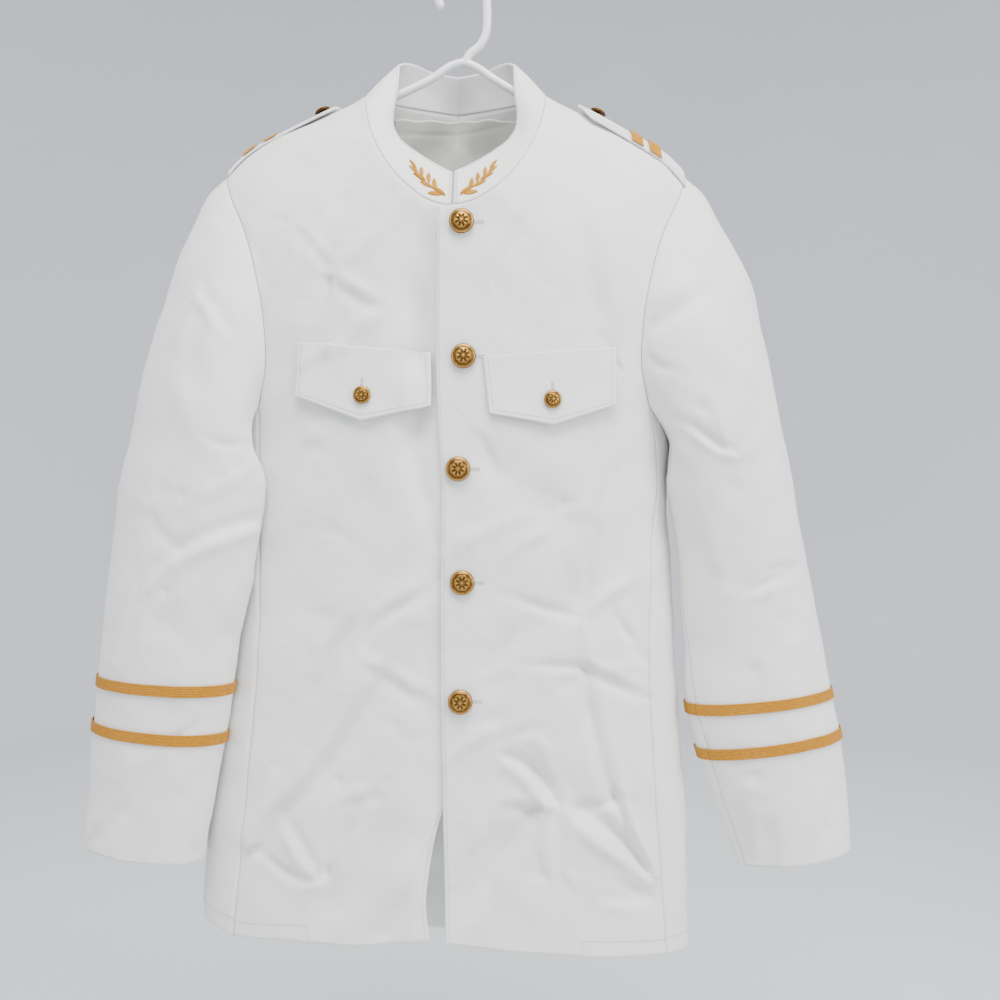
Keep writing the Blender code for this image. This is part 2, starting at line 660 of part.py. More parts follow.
def make_collar(pieces):
    """The stand collar as one grid: columns from the right front round the back to the left front."""
    quarters = []
    for side, part, top, rows in (("right", "front", COLLAR_FRONT, NECK_ROWS), ("right", "back", COLLAR_BACK, NAPE_ROWS),
                                  ("left", "back", COLLAR_BACK, NAPE_ROWS), ("left", "front", COLLAR_FRONT, NECK_ROWS)):
        base, base_out, edge = collar_half(side, pieces, part, top, rows)
        quarters.append((base, base_out, edge))
    order = (slice(None, None, -1), slice(1, None), slice(-2, None, -1), slice(1, None))
    base = np.concatenate([quarter[0][cut] for quarter, cut in zip(quarters, order)])
    base_out = np.concatenate([quarter[1][cut] for quarter, cut in zip(quarters, order)])
    edge = np.concatenate([quarter[2][cut] for quarter, cut in zip(quarters, order)])
    v = np.linspace(0, 1, COLLAR_ROWS + 1)[:, None, None]
    points = base * (1 - v) + edge * v
    core = np.array([0, 0, -150.0])
    out = facing(points, core)
    points = points + out * COLLAR_BULGE * np.sin(math.pi * v)
    joint = mitre(base_out, out[0])
    out[0] = joint
    front_count, back_count = NECK_ROWS, NAPE_ROWS
    seams = (("right", "front", joint[:front_count][::-1]),
             ("right", "back", joint[front_count - 1:front_count + back_count - 1]),
             ("left", "back", joint[front_count + back_count - 2:front_count + 2 * back_count - 2][::-1]),
             ("left", "front", joint[front_count + 2 * back_count - 3:]))
    for side, part, values in seams:
        grid, panel_out = pieces[side][part]
        panel_out[:len(values), 0] = values
    return points, out


def cut_and_sew(pieces, collar):
    """Draws the seam edges apart by the seam gap and makes the walls."""
    for side in ("left", "right"):
        front, out_front = pieces[side]["front"]
        back, out_back = pieces[side]["back"]
        body_side, out_side = pieces[side]["side"]
        sleeve, out_sleeve = pieces[side]["sleeve"]
        carriers[side + "_front"] = front.copy()
        carriers[side + "_back"] = back.copy()
        carriers[side + "_sleeve"] = sleeve.copy()
        last = ARMHOLE_ROWS - 1
        for panel, out_panel in ((front, out_front), (back, out_back)):
            hold_back(panel[0], panel[1])
            hold_back(panel[:, -1], panel[:, -2], out_panel[:, -1])
        hold_back(front[:NECK_ROWS, 0], front[:NECK_ROWS, 1], out_front[:NECK_ROWS, 0])
        hold_back(back[:, 0], back[:, 1], out_back[:, 0])
        hold_back(body_side[0], body_side[1], out_side[0])
        hold_back(body_side[:, 0], body_side[:, 1])
        hold_back(body_side[:, -1], body_side[:, -2])
        hold_back(sleeve[0], sleeve[1], out_sleeve[0])
        wall("front_" + side, front, out_front, CLOTH, "cloth")
        wall("back_" + side, back, out_back, CLOTH, "cloth")
        wall("side_" + side, body_side, out_side, CLOTH, "cloth")
        count = sleeve.shape[1]
        top = np.concatenate([np.arange(TOP_SEAM, -1, -1), np.arange(count - 1, BACK_SEAM_PLACE - 1, -1)])
        under = np.arange(TOP_SEAM, BACK_SEAM_PLACE + 1)
        for name, columns in (("top", top), ("under", under)):
            points, out = sleeve[:, columns], out_sleeve[:, columns]
            hold_back(points[:, 0], points[:, 1])
            hold_back(points[:, -1], points[:, -2])
            wall("sleeve_%s_%s" % (side, name), points, out, CLOTH, "cloth")
    points, out = collar
    hold_back(points[0], points[1], out[0])
    wall("collar", points, out, COLLAR_CLOTH, "cloth")


def on_panel(part, x, z):
    """Points and outward normals on the two halves of a panel at x, z, found by rays along Y."""
    points, normals = [], []
    trees = {}
    for side in SIGNS:
        grid = carriers[side + "_" + part]
        rows, columns = grid.shape[:2]
        index = np.arange(rows * columns).reshape(rows, columns)
        cells = np.stack([index[:-1, :-1], index[1:, :-1], index[1:, 1:], index[:-1, 1:]], -1)
        trees[side] = BVHTree.FromPolygons(grid.reshape(-1, 3).tolist(), cells.reshape(-1, 4).tolist())
    toward = 1.0 if part == "back" else -1.0
    for value, level in zip(np.ravel(x), np.ravel(z)):
        side = "left" if value > 0 else "right"
        value = math.copysign(max(abs(value), 0.2), value)
        place, normal, _, _ = trees[side].ray_cast(Vector((value, 0, level)), Vector((0, toward, 0)))
        if normal.y * toward < 0:
            normal = -normal
        points.append(tuple(place))
        normals.append(tuple(normal))
    return np.array(points).reshape(x.shape + (3,)), np.array(normals).reshape(x.shape + (3,))


def make_lining():
    """The lining that shows inside the back of the neck, lying on the backs' inner faces."""
    u = np.linspace(-1, 1, 10)[None, :]
    v = np.linspace(0, 1, 6)[:, None]
    x = u * (64 + 22 * v)
    z = LINING_TOP - 8 * np.abs(u) ** 3 + (LINING_END - LINING_TOP + 8 * np.abs(u) ** 3) * v
    middle, _ = on_panel("back", x, z)
    out = facing(middle, np.array([0, -60.0, -200.0]))
    wall("neck_lining", middle - out * LINING_DEPTH, out, LINING_CLOTH, "lining")


def make_flap(side):
    """A pointed pocket flap: the front's own surface moved out, more towards the point."""
    rows = FLAPS[side]
    (x0, x1, x2, x3, x4), (z0, z1, z2, z3, z4) = rows["x"], rows["z"]
    u = np.linspace(0, 1, 9)[None, :]
    v = np.linspace(0, 1, 5)[:, None]
    point = (x3 - x4) / (x2 - x4)
    low_x = x4 + (x2 - x4) * u
    low_z = np.where(u < point, z4 + (z3 - z4) * u / point, z3 + (z2 - z3) * (u - point) / (1 - point))
    x = (x0 + (x1 - x0) * u) * (1 - v) + low_x * v
    z = (z0 + (z1 - z0) * u) * (1 - v) + low_z * v
    beside = [on_panel("front", SIGNS[side] * (x + shift), z)[0] for shift in (-FLAP_REACH, 0, FLAP_REACH)]
    middle = beside[1]
    middle[..., 1] = np.min([points[..., 1] for points in beside], axis=0)
    flat = front_point(x, z, side, folded=False)
    middle[..., 1] += (np.minimum(middle[..., 1], flat[..., 1]) - middle[..., 1]) * ease(1.5 * v)
    out = facing(middle, np.array([0, 0, -400.0]))
    lift = CLOTH + FLAP_OFF + FLAP_LIFT * v[..., None] ** 2
    middle = middle + out * lift
    wall("flap_" + side, middle, out, CLOTH, "cloth")
    flaps[side] = (middle, out)


def shoulder_point(x, arc, side, lift):
    """Point over the shoulder at a distance along the cloth from the ridge (minus in front)."""
    drop = np.linspace(0, 1, 200) ** 2 * 70
    points = []
    normals = []
    for value, distance, height in zip(*[np.ravel(a) for a in np.broadcast_arrays(x, arc, lift)]):
        top = ridge(value)
        front = distance < 0
        depth = np.interp(top - drop, BODY["level"][::-1], BODY["front" if front else "back"][::-1])
        y = depth * fullness(drop, FRONT_REACH if front else BACK_REACH) * oval(value, top - drop, side)
        length = np.concatenate([[0], np.cumsum(np.hypot(np.diff(y), np.diff(drop)))])
        y_at, drop_at = np.interp(abs(distance), length, y), np.interp(abs(distance), length, drop)
        y_on, drop_on = np.interp(abs(distance) + 2, length, y), np.interp(abs(distance) + 2, length, drop)
        normal = unit(np.array([0, drop_on - drop_at, y_on - y_at]))
        direction = -1 if front else 1
        slope = unit(np.array([SHOULDER_SLOPE, 0, 1.0]))
        normal = unit(normal * np.array([1, direction, 1]) + slope * np.array([normal[2], 0, 0]))
        points.append(np.array([value, direction * y_at, top - drop_at]) + normal * height)
        normals.append(normal)
    shape = np.broadcast(x, arc, lift).shape + (3,)
    sign = np.array([SIGNS[side], 1, 1])
    return np.array(points).reshape(shape) * sign, np.array(normals).reshape(shape) * sign


def strap_outline(side, along):
    """Half width of the shoulder strap, narrowing to a point at its neck end."""
    return STRAP_HALF * np.clip(1.0 - ((along - 0.86) / 0.14).clip(0, 1) ** 1.6 * 0.86, 0, 1)


def make_strap(side):
    """Shoulder strap, its two braids and its button."""
    along = np.concatenate([np.linspace(0, 0.86, 9), [0.92, 0.97, 1.0]])[:, None]
    across = np.sort(np.append(np.linspace(-1, 1, 7), STRAP_FORWARD[side] / STRAP_HALF))[None, :]
    x = STRAP_OUTER + (STRAP_INNER[side] - STRAP_OUTER) * along
    lift = CLOTH / 2 + STRAP_CLEAR + STRAP_CLOTH / 2 + STRAP_LIFT[side] * ease((along - 0.35) / 0.65)
    arc = across * strap_outline(side, along) - STRAP_FORWARD[side]
    middle, _ = shoulder_point(x, arc, side, lift)
    out = facing(middle, np.array([SIGNS[side] * 170, 0, -240.0]))
    wall("epaulette_" + side, middle, out, STRAP_CLOTH, "cloth")
    place = np.arange(across.size)[None, :]
    for name, centre in zip(("inner", "outer"), STRAP_BRAIDS[side]):
        half = STRAP_BRAID_WIDTH / 2 * math.cos(math.atan(SHOULDER_SLOPE))
        edges = np.array([centre + half, centre - half])[:, None]
        share = (edges - STRAP_OUTER) / (STRAP_INNER[side] - STRAP_OUTER)
        row = np.interp(share, along[:, 0], np.arange(len(along)))
        points, braid_out = surface_at(middle, out, row + 0 * place, place + 0 * row)
        points = points + braid_out * (STRAP_CLOTH / 2 + BRAID_CLEAR + BRAID_CLOTH / 2)
        wall("shoulder_braid_%s_%s" % (side, name), points, braid_out, BRAID_CLOTH, "braid")
    share = (STRAP_BUTTON[side] - STRAP_OUTER) / (STRAP_INNER[side] - STRAP_OUTER)
    row = np.interp(share, along[:, 0], np.arange(len(along)))
    centre = np.interp(0, across[0], place[0])
    seat, normal = surface_at(middle, out, np.array([row]), np.array([centre]))
    button("shoulder_button_" + side, seat[0] + normal[0] * (STRAP_CLOTH / 2 + SEAM_GAP), normal[0],
           SMALL_BUTTON_RADIUS)


def make_sleeve_braids(side):
    """Two rows of braid round each sleeve, cut at the sleeve seams."""
    ring = carriers[side + "_sleeve"][0] * np.array([SIGNS[side], 1, 1])
    angle = ring_angles(ring)
    count = len(angle)
    top = np.concatenate([np.arange(TOP_SEAM, -1, -1), np.arange(count - 1, BACK_SEAM_PLACE - 1, -1)])
    under = np.arange(TOP_SEAM, BACK_SEAM_PLACE + 1)
    for row_name, centre in zip(("upper", "lower"), SLEEVE_BRAIDS[side]):
        levels = np.array([centre + BRAID_WIDTH / 2, centre - BRAID_WIDTH / 2])
        angles, level = np.broadcast_arrays(angle[None, :], levels[:, None])
        whole = sleeve_section(side, angles, level) * np.array([SIGNS[side], 1, 1])
        closed = np.concatenate([whole[:, -1:], whole, whole[:, :1]], axis=1)
        whole_out = facing(closed, whole.mean(axis=1, keepdims=True))[:, 1:-1]
        whole = whole + whole_out * (CLOTH / 2 + BRAID_CLEAR + BRAID_CLOTH / 2)
        for part, columns in (("top", top), ("under", under)):
            points, out = whole[:, columns], whole_out[:, columns]
            hold_back(points[:, 0], points[:, 1])
            hold_back(points[:, -1], points[:, -2])
            wall("braid_%s_%s_%s" % (side, part, row_name), points, out, BRAID_CLOTH, "braid")


def button(name, seat, normal, radius):
    """Domed metal button turned round its shank, standing on its seat along the normal."""
    height = 0.62 * radius
    shank = 0.16 * radius
    profile = [(0.0, height), (0.45 * radius, 0.93 * height), (0.8 * radius, 0.74 * height),
               (radius, 0.42 * height), (0.92 * radius, 0.26 * height), (shank, 0.24 * height), (shank, 0.0),
               (0.0, 0.0)]
    mesh = bpy.data.meshes.new(name)
    mesh.from_pydata([(r * MM, 0, h * MM) for r, h in profile], [(k, k + 1) for k in range(len(profile) - 1)], [])
    piece = bpy.data.objects.new(name, mesh)
    JACKET.objects.link(piece)
    turned = piece.modifiers.new("Turned", "SCREW")
    turned.steps = BUTTON_STEPS
    turned.render_steps = BUTTON_STEPS
    turned.use_merge_vertices = True
    turned.merge_threshold = 0.00002
    turned.use_smooth_shade = False
    piece.location = Vector(to_world(seat))
    piece.rotation_euler = Vector(normal).to_track_quat("Z", "Y").to_euler()
    own_material(piece, "button")


def make_buttons():
    """Front buttons on the lapped front, and one on each pocket flap."""
    for number, (x, z) in enumerate(zip(FRONT_BUTTONS["x"], FRONT_BUTTONS["z"]), 1):
        seat = front_point(np.array(x), np.array(z), "left")
        normal = np.array([0, -1.0, 0.0])
        button("button_%d" % number, seat + normal * (CLOTH / 2 + 2 * SEAM_GAP), normal, BUTTON_RADIUS)
    for side, (x, z) in POCKET_BUTTONS.items():
        middle, out = flaps[side]
        flat = middle.reshape(-1, 3)
        nearest = np.argsort(np.hypot(flat[:, 0] - SIGNS[side] * x, flat[:, 2] - z))[:4]
        weight = 1 / (1 + np.hypot(flat[nearest, 0] - SIGNS[side] * x, flat[nearest, 2] - z))
        y = (flat[nearest, 1] * weight).sum() / weight.sum()
        normal = unit(out.reshape(-1, 3)[nearest].mean(axis=0))
        seat = np.array([SIGNS[side] * x, y, z]) + normal * (CLOTH / 2 + 2 * SEAM_GAP)
        button("pocket_button_" + side, seat, normal, SMALL_BUTTON_RADIUS)


def make_sprigs(collar):
    """Leaf-shaped embroidered badge on each collar end, the collar's own surface moved out."""
    points, out = collar
    columns = points.shape[1]
    for side in ("left", "right"):
        centre = columns - 1 - 3.4 if side == "left" else 3.4
        direction = 1 if side == "left" else -1
        t = np.linspace(-1, 1, 9)[None, :]
        w = np.linspace(-1, 1, 4)[:, None]
        half = 0.82 * np.sqrt(np.clip(1.02 - t ** 2, 0.02, 1))
        column = centre + direction * 2.3 * t + 0 * w
        row = 1.55 + w * half * 1.25
        middle, normals = surface_at(points, out, row + 0 * t, column)
        middle = middle + normals * (COLLAR_CLOTH / 2 + 0.8 + SPRIG_CLOTH / 2)
        wall("sprig_" + side, middle, facing(middle, np.array([0, 0, -150.0])), SPRIG_CLOTH, "braid")


def tube(name, path):
    """Round tube along a path of points, with filled caps."""
    curve = bpy.data.curves.new(name, "CURVE")
    curve.dimensions = "3D"
    curve.bevel_depth = HANGER_RADIUS * MM
    curve.bevel_resolution = 2
    curve.use_fill_caps = True
    line = curve.splines.new("POLY")
    line.points.add(len(path) - 1)
    for point, place in zip(line.points, path):
        point.co = (*[value * MM for value in place], 1)
    return bpy.data.objects.new(name, curve)


def as_mesh(piece, collection):
    """The tube's evaluated mesh with its caps welded, as a new object."""
    collection.objects.link(piece)
    bpy.context.view_layer.update()
    evaluated = piece.evaluated_get(bpy.context.evaluated_depsgraph_get())
    mesh = bpy.data.meshes.new_from_object(evaluated)
    welded = bmesh.new()
    welded.from_mesh(mesh)
    bmesh.ops.remove_doubles(welded, verts=welded.verts, dist=0.00001)
    welded.to_mesh(mesh)
    welded.free()
    name, placed = piece.name, piece.matrix_world.copy()
    bpy.data.objects.remove(piece)
    solid = bpy.data.objects.new(name, mesh)
    solid.matrix_world = placed
    collection.objects.link(solid)
    return solid


def make_hanger():
    """Arms, stem and hook of the hanger, joined into one plastic body."""
    shift = CENTRE_X * np.minimum(1, ARM["x"] / ARM["x"][1])
    right, left = (list(zip(sign * ARM["x"] + shift, 0 * shift, ARM["level"])) for sign in (-1, 1))
    arms = right[::-1]
    arms += [(-7, 0, APEX_LEVEL - 3.6), (0, 0, APEX_LEVEL - 1.8), (7, 0, APEX_LEVEL - 3.6)]
    arms += left
    turns = np.radians(np.linspace(-8, 205, 19))
    centre = -(HOOK_RADIUS - HANGER_RADIUS)
    hook = [(2.4, 0, APEX_LEVEL - 2), (6.5, 0, APEX_LEVEL + 6), (16.6, 0, -69.8), (22.5, 0, -58), (24, 0, -44)]
    hook += [(HOOK_RADIUS * math.cos(a), 0, centre + HOOK_RADIUS * math.sin(a)) for a in turns]
    solid = as_mesh(tube("hanger", arms), JACKET)
    cutter = as_mesh(tube("hook_form", hook), CUTTERS)
    cutter.hide_render = True
    cutter.display_type = "WIRE"
    union = solid.modifiers.new("Hook", "BOOLEAN")
    union.operation = "UNION"
    union.object = cutter
    solid.data.materials.clear()
    own_material(solid, "plastic")


for old in list(bpy.data.objects):
    bpy.data.objects.remove(old)
JACKET = bpy.data.collections.new("naval_officer_jacket")
CUTTERS = bpy.data.collections.new("cutters")
for made in (JACKET, CUTTERS):
    bpy.context.scene.collection.children.link(made)

carriers = {}
flaps = {}
body = make_body()
collar_grid = make_collar(body)
collar_face = (collar_grid[0].copy(), collar_grid[1].copy())
cut_and_sew(body, collar_grid)
make_lining()
for wearer_side in ("left", "right"):
    make_flap(wearer_side)
    make_strap(wearer_side)
    make_sleeve_braids(wearer_side)
make_buttons()
make_sprigs(collar_face)
make_hanger()
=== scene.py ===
"""White naval officer's jacket, hanging buttoned on a plastic hanger: the finished look.

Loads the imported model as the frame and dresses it. Sizes are in millimetres and become metres when a
mesh is made. The hook's inner crown is the origin, +Z is up and the front faces -Y. A side coordinate x
is measured outward from the jacket's centre plane on the wearer's left or right.
"""
import math

import bpy
import numpy as np
from mathutils import Matrix, Vector
from mathutils.bvhtree import BVHTree


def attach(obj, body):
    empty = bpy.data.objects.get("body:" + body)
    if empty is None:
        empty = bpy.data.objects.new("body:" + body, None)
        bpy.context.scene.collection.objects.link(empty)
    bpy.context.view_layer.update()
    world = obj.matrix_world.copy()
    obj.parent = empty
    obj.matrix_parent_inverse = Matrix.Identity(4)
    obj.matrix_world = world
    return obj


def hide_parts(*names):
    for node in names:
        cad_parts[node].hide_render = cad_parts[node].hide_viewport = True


bl_info = {
    "name": "Naval officer jacket",
    "version": (1, 0, 0),
    "blender": (4, 5, 0),
    "location": "View3D > Sidebar > Jacket",
    "description": "Sews a hanging dress jacket over its packed solids",
    "category": "Add Mesh",
}

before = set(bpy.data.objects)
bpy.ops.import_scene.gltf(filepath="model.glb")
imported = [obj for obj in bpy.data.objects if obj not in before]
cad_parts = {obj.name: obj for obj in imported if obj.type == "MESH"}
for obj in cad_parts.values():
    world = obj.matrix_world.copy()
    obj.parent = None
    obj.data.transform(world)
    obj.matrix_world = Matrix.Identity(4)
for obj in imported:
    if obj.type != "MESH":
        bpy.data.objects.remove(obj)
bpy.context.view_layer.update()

MM = 0.001
CENTRE_X = -6.0          # the centre plane hangs this far to the wearer's right of the hook
SIGNS = {"left": 1.0, "right": -1.0}     # the wearer's sides along X
CLOTH = 1.8
COLLAR_CLOTH = 2.6
SEAM_GAP = 0.3
LAP_DEPTH = 3.4          # the right front lies this far behind the left one where they lap

NECK_HALF = 86.0
NECK_LEVEL = -120.0
NECK_DROP = 128.0        # from the shoulder's neck point down to the front of the neck
SHOULDER_SLOPE = 0.584
FRONT_REACH = 160.0      # drop from the shoulder line at which the front has its full depth
BACK_REACH = 100.0
SQUARENESS = 2.5         # exponent of the oval cross-section
ROWS_BELOW = 11
COLUMNS_SIDE = 5


def table(names, *rows):
    """Columns by name from a list of rows."""
    return {name: np.array(column, float) for name, column in zip(names.split(), zip(*rows))}



# Half widths and depths of the body at each level
BODY = table("level left right front back",
             (-110, 250, 250, 88, 68),
             (-200, 250, 250, 88, 72),
             (-261, 243, 243, 88, 74),
             (-310, 235, 235, 88, 74),
             (-356, 224, 224, 88, 73),
             (-395, 216, 216, 88, 72),
             (-425, 210, 210, 88, 71),
             (-455, 206, 207, 88, 70),
             (-520, 203, 206, 87, 66),
             (-570, 206, 207, 86, 62),
             (-650, 210, 215, 84, 58),
             (-745, 216, 232, 82, 58),
             (-800, 221, 238, 81, 60),
             (-860, 221, 241, 80, 61),
             (-960, 225, 243, 80, 62))

# Level of the shoulder line, rounded up over the shoulder and dropping to the sleeve
SHOULDER = table("x level",
                 (86, -120),
                 (100, -128),
                 (114, -134.8),
                 (138, -145.4),
                 (151, -151),
                 (165, -157.3),
                 (178, -163.6),
                 (190, -170),
                 (202, -178.4),
                 (212, -187.6),
                 (222.5, -200))

ARMHOLE = table("level front back",
                (-200, 222.5, 222.5),
                (-226, 212, 216),
                (-261, 195, 207),
                (-310, 180, 199),
                (-356, 173, 195),
                (-395, 173, 194.5),
                (-412, 177, 196),
                (-425, 180, 197.5),
                (-432, 182, 198))

FRONT_SEAM = table("level left right",
                   (-425, 180, 180),
                   (-489, 189, 180),
                   (-545, 184, 180),
                   (-607, 181, 179),
                   (-660, 180, 180.5),
                   (-730, 182.5, 186),
                   (-800, 187, 192.5),
                   (-935, 197, 206))

BACK_SEAM = table("level left right",
                  (-432, 198, 198),
                  (-490, 190, 190),
                  (-560, 182, 183),
                  (-650, 178, 182),
                  (-745, 183, 195),
                  (-860, 190, 206),
                  (-960, 196, 210))

# Where the front edge of each front lies, measured outward on its own side
FRONT_EDGE = table("level left right",
                   (-250.5, -10.5, -20),
                   (-262, -14, -24),
                   (-430, -13.5, -24),
                   (-500, -9.5, -24),
                   (-560, -10.5, -24),
                   (-700, -10.2, -20),
                   (-760, -9.2, -5),
                   (-805, -8.5, 13),
                   (-850, -7.5, 22),
                   (-870, -7.2, 24.5),
                   (-915, -6.5, 20))

HEM = table("left right",
            (-913, -910),
            (-934, -915),
            (-950, -938),
            (-955, -955))
HEM_FRONT, HEM_FRONT_SEAM, HEM_BACK_SEAM, HEM_BACK = range(4)
HEM_SIDE_RISE = {"left": 0.0, "right": 16.0}

# Rows from the shoulder seam down to the side seams: level on the front neck or edge, level on the
# armhole, and the row's start on the back neck or centre-back seam
UPPER_ROWS = table("neck armhole nape_x nape",
                   (-120, -200, 86, -120),
                   (-124, -204, 84.5, -119.9),
                   (-131, -212, 81, -119.5),
                   (-142, -226, 75, -119),
                   (-157, -245, 66, -118.4),
                   (-175, -268, 54, -117.6),
                   (-195, -295, 40, -116.9),
                   (-215, -325, 22, -116.3),
                   (-232, -355, 0.15, -116),
                   (-244, -383, 0.15, -150),
                   (-248, -400, 0.15, -190),
                   (-250.5, -412, 0.15, -235),
                   (-262, -425, 0.15, -285))
NECK_ROWS = 11           # rows that start on the front neckline
NAPE_ROWS = 9            # rows that start on the back neckline
ARMHOLE_ROWS = 13
SHOULDER_ROWS = 8         # rows that take part of the shoulder line's curve
UNDERARM_DIP = 28.0

# The collar's upper edge: share of the way along from the shoulder to its front or back middle
COLLAR_FRONT = table("share x y z",
                     (0.00, 55.5, 8, -85),
                     (0.18, 55.8, -8, -112),
                     (0.52, 56.6, -35, -163.6),
                     (0.62, 50, -43, -176),
                     (0.73, 37.9, -50, -187.5),
                     (0.88, 18, -58, -202),
                     (1.00, 0.7, -62, -211.4))
COLLAR_BACK = table("share x y z",
                    (0.00, 55.5, 8, -85),
                    (0.25, 50, 21, -78),
                    (0.45, 42, 30, -76),
                    (0.70, 26, 40, -79.5),
                    (1.00, 0, 46, -82.5))
COLLAR_BULGE = 1.5

# Sections of each sleeve below the armhole. Inner and outer edge, half depth, tilt and twist in degrees
SLEEVES = {
    "left": table("level inner outer inner_y outer_y half tilt twist",
                  (-500, 201, 319, -50, -12, 44, 0, 18),
                  (-570, 212, 332, -38, -14, 43, 0, 34),
                  (-640, 217, 347, -28, -16, 42, 2, 50),
                  (-700, 221, 357, -26, -18, 41, 6, 62),
                  (-745, 232, 365, -25, -20, 39, 8, 67),
                  (-790, 248, 371, -25, -20, 36, 7, 62),
                  (-850, 268, 376, -25, -20, 33, 8, 56)),
    "right": table("level inner outer inner_y outer_y half tilt twist",
                   (-500, 174, 315, -70, -14, 46, 0, 0),
                   (-570, 184, 322, -68, -18, 46, 0, 0),
                   (-640, 200, 329, -64, -22, 44, 1, 0),
                   (-700, 209.5, 335, -60, -25, 42, 3, 0),
                   (-745, 217, 338.5, -57, -28, 40, 5, 0),
                   (-790, 225, 342, -54, -30, 37, 6, 0),
                   (-850, 237, 346.5, -50, -32, 34, 6, 0)),
}
SLEEVE_TOP = -500.0
SLEEVE_END = {"left": -850.0, "right": -840.0}

# The head of each sleeve is drawn in by this much at its outline
SLIM = table("level left right",
             (-200, 0, 0),
             (-212, -1, -1),
             (-229, 5, 5),
             (-243, 7, 12),
             (-264, 6.5, 13),
             (-283, 5, 13),
             (-305, 3, 13.5),
             (-325, 4, 14),
             (-359, 6, 12),
             (-397, 6, 9.5),
             (-436, 4, 7),
             (-500, 0, 0))
ANGLE_FRONT_SEAM = 12.0      # where the armhole's points come to lie on the sleeve's first section
ANGLE_UNDERARM = -50.0
ANGLE_BACK_SEAM = -85.0
SLEEVE_CLEAR = 5.5           # the sleeve's middle line stays this far off the body's
TOP_SEAM = 14                # places round the armhole where the two sleeve seams start
BACK_SEAM_PLACE = 23

# Large soft folds: place, slant in degrees from level, half length, half width and depth
FRONT_FOLDS = table("x z slant length width depth",
                    (-32, -365, 90, 130, 14, 8),
                    (45, -835, 48, 70, 18, 4),
                    (95, -765, -38, 55, 17, 4),
                    (-72, -700, 52, 80, 20, 4),
                    (-112, -560, 62, 80, 20, 3.5),
                    (108, -600, 35, 80, 20, 3.5),
                    (62, -500, -40, 60, 18, 3),
                    (-80, -850, 62, 55, 19, 4))
BACK_FOLDS = table("x z slant length width depth",
                   (-62, -420, 80, 140, 26, 4),
                   (72, -520, -75, 150, 28, 4),
                   (-110, -700, 70, 110, 24, 4),
                   (34, -760, -65, 110, 24, 4),
                   (118, -800, 75, 90, 22, 3.5))

LINING_CLOTH = 1.2
LINING_DEPTH = 2.6           # from the back's middle surface in to the lining's
LINING_TOP = -122.0
LINING_END = -234.0

FLAP_OFF = 0.45              # a flap's top edge clears the front by this much, its point by more
FLAP_LIFT = 3.0
FLAP_REACH = 7.0             # a flap stays outside what the front does this far to each side
FLAPS = {
    "left": table("x z", (27, -384), (147, -374), (146, -426), (90, -445), (33, -435)),
    "right": table("x z", (18.5, -380), (139, -370), (141, -418), (81, -441.5), (19.5, -428)),
}

STRAP_CLOTH = 2.2
STRAP_HALF = 24.0
STRAP_OUTER = 218.0
STRAP_INNER = {"left": 115.0, "right": 108.0}
STRAP_FORWARD = {"left": 4.0, "right": -12.0}     # how far its middle lies in front of the ridge
STRAP_CLEAR = 0.8
STRAP_LIFT = {"left": 4.5, "right": 2.0}
STRAP_BRAIDS = {"left": (171.7, 188.8), "right": (177.5, 196.5)}
STRAP_BRAID_WIDTH = 13.0
STRAP_BUTTON = {"left": 134.0, "right": 127.0}

BRAID_CLOTH = 1.0
BRAID_CLEAR = 1.0
BRAID_WIDTH = 10.4
SLEEVE_BRAIDS = {"left": (-701.0, -741.0), "right": (-682.0, -725.5)}

BUTTON_RADIUS = 11.1         # 35 line
SMALL_BUTTON_RADIUS = 8.0    # 25 line
FRONT_BUTTONS = table("x z", (8.25, -263.8), (10, -383.9), (5.1, -484.4), (8.7, -585.8), (6.9, -692.6))
POCKET_BUTTONS = {"left": (89.5, -423.0), "right": (80.5, -419.5)}


HANGER_RADIUS = 4.0
HOOK_RADIUS = 24.0
APEX_LEVEL = -84.4
# Half of the hanger's arms, just under the shoulder line
ARM = table("x level",
            (60, -118),
            (120, -144.3),
            (160, -162),
            (198, -183.5))

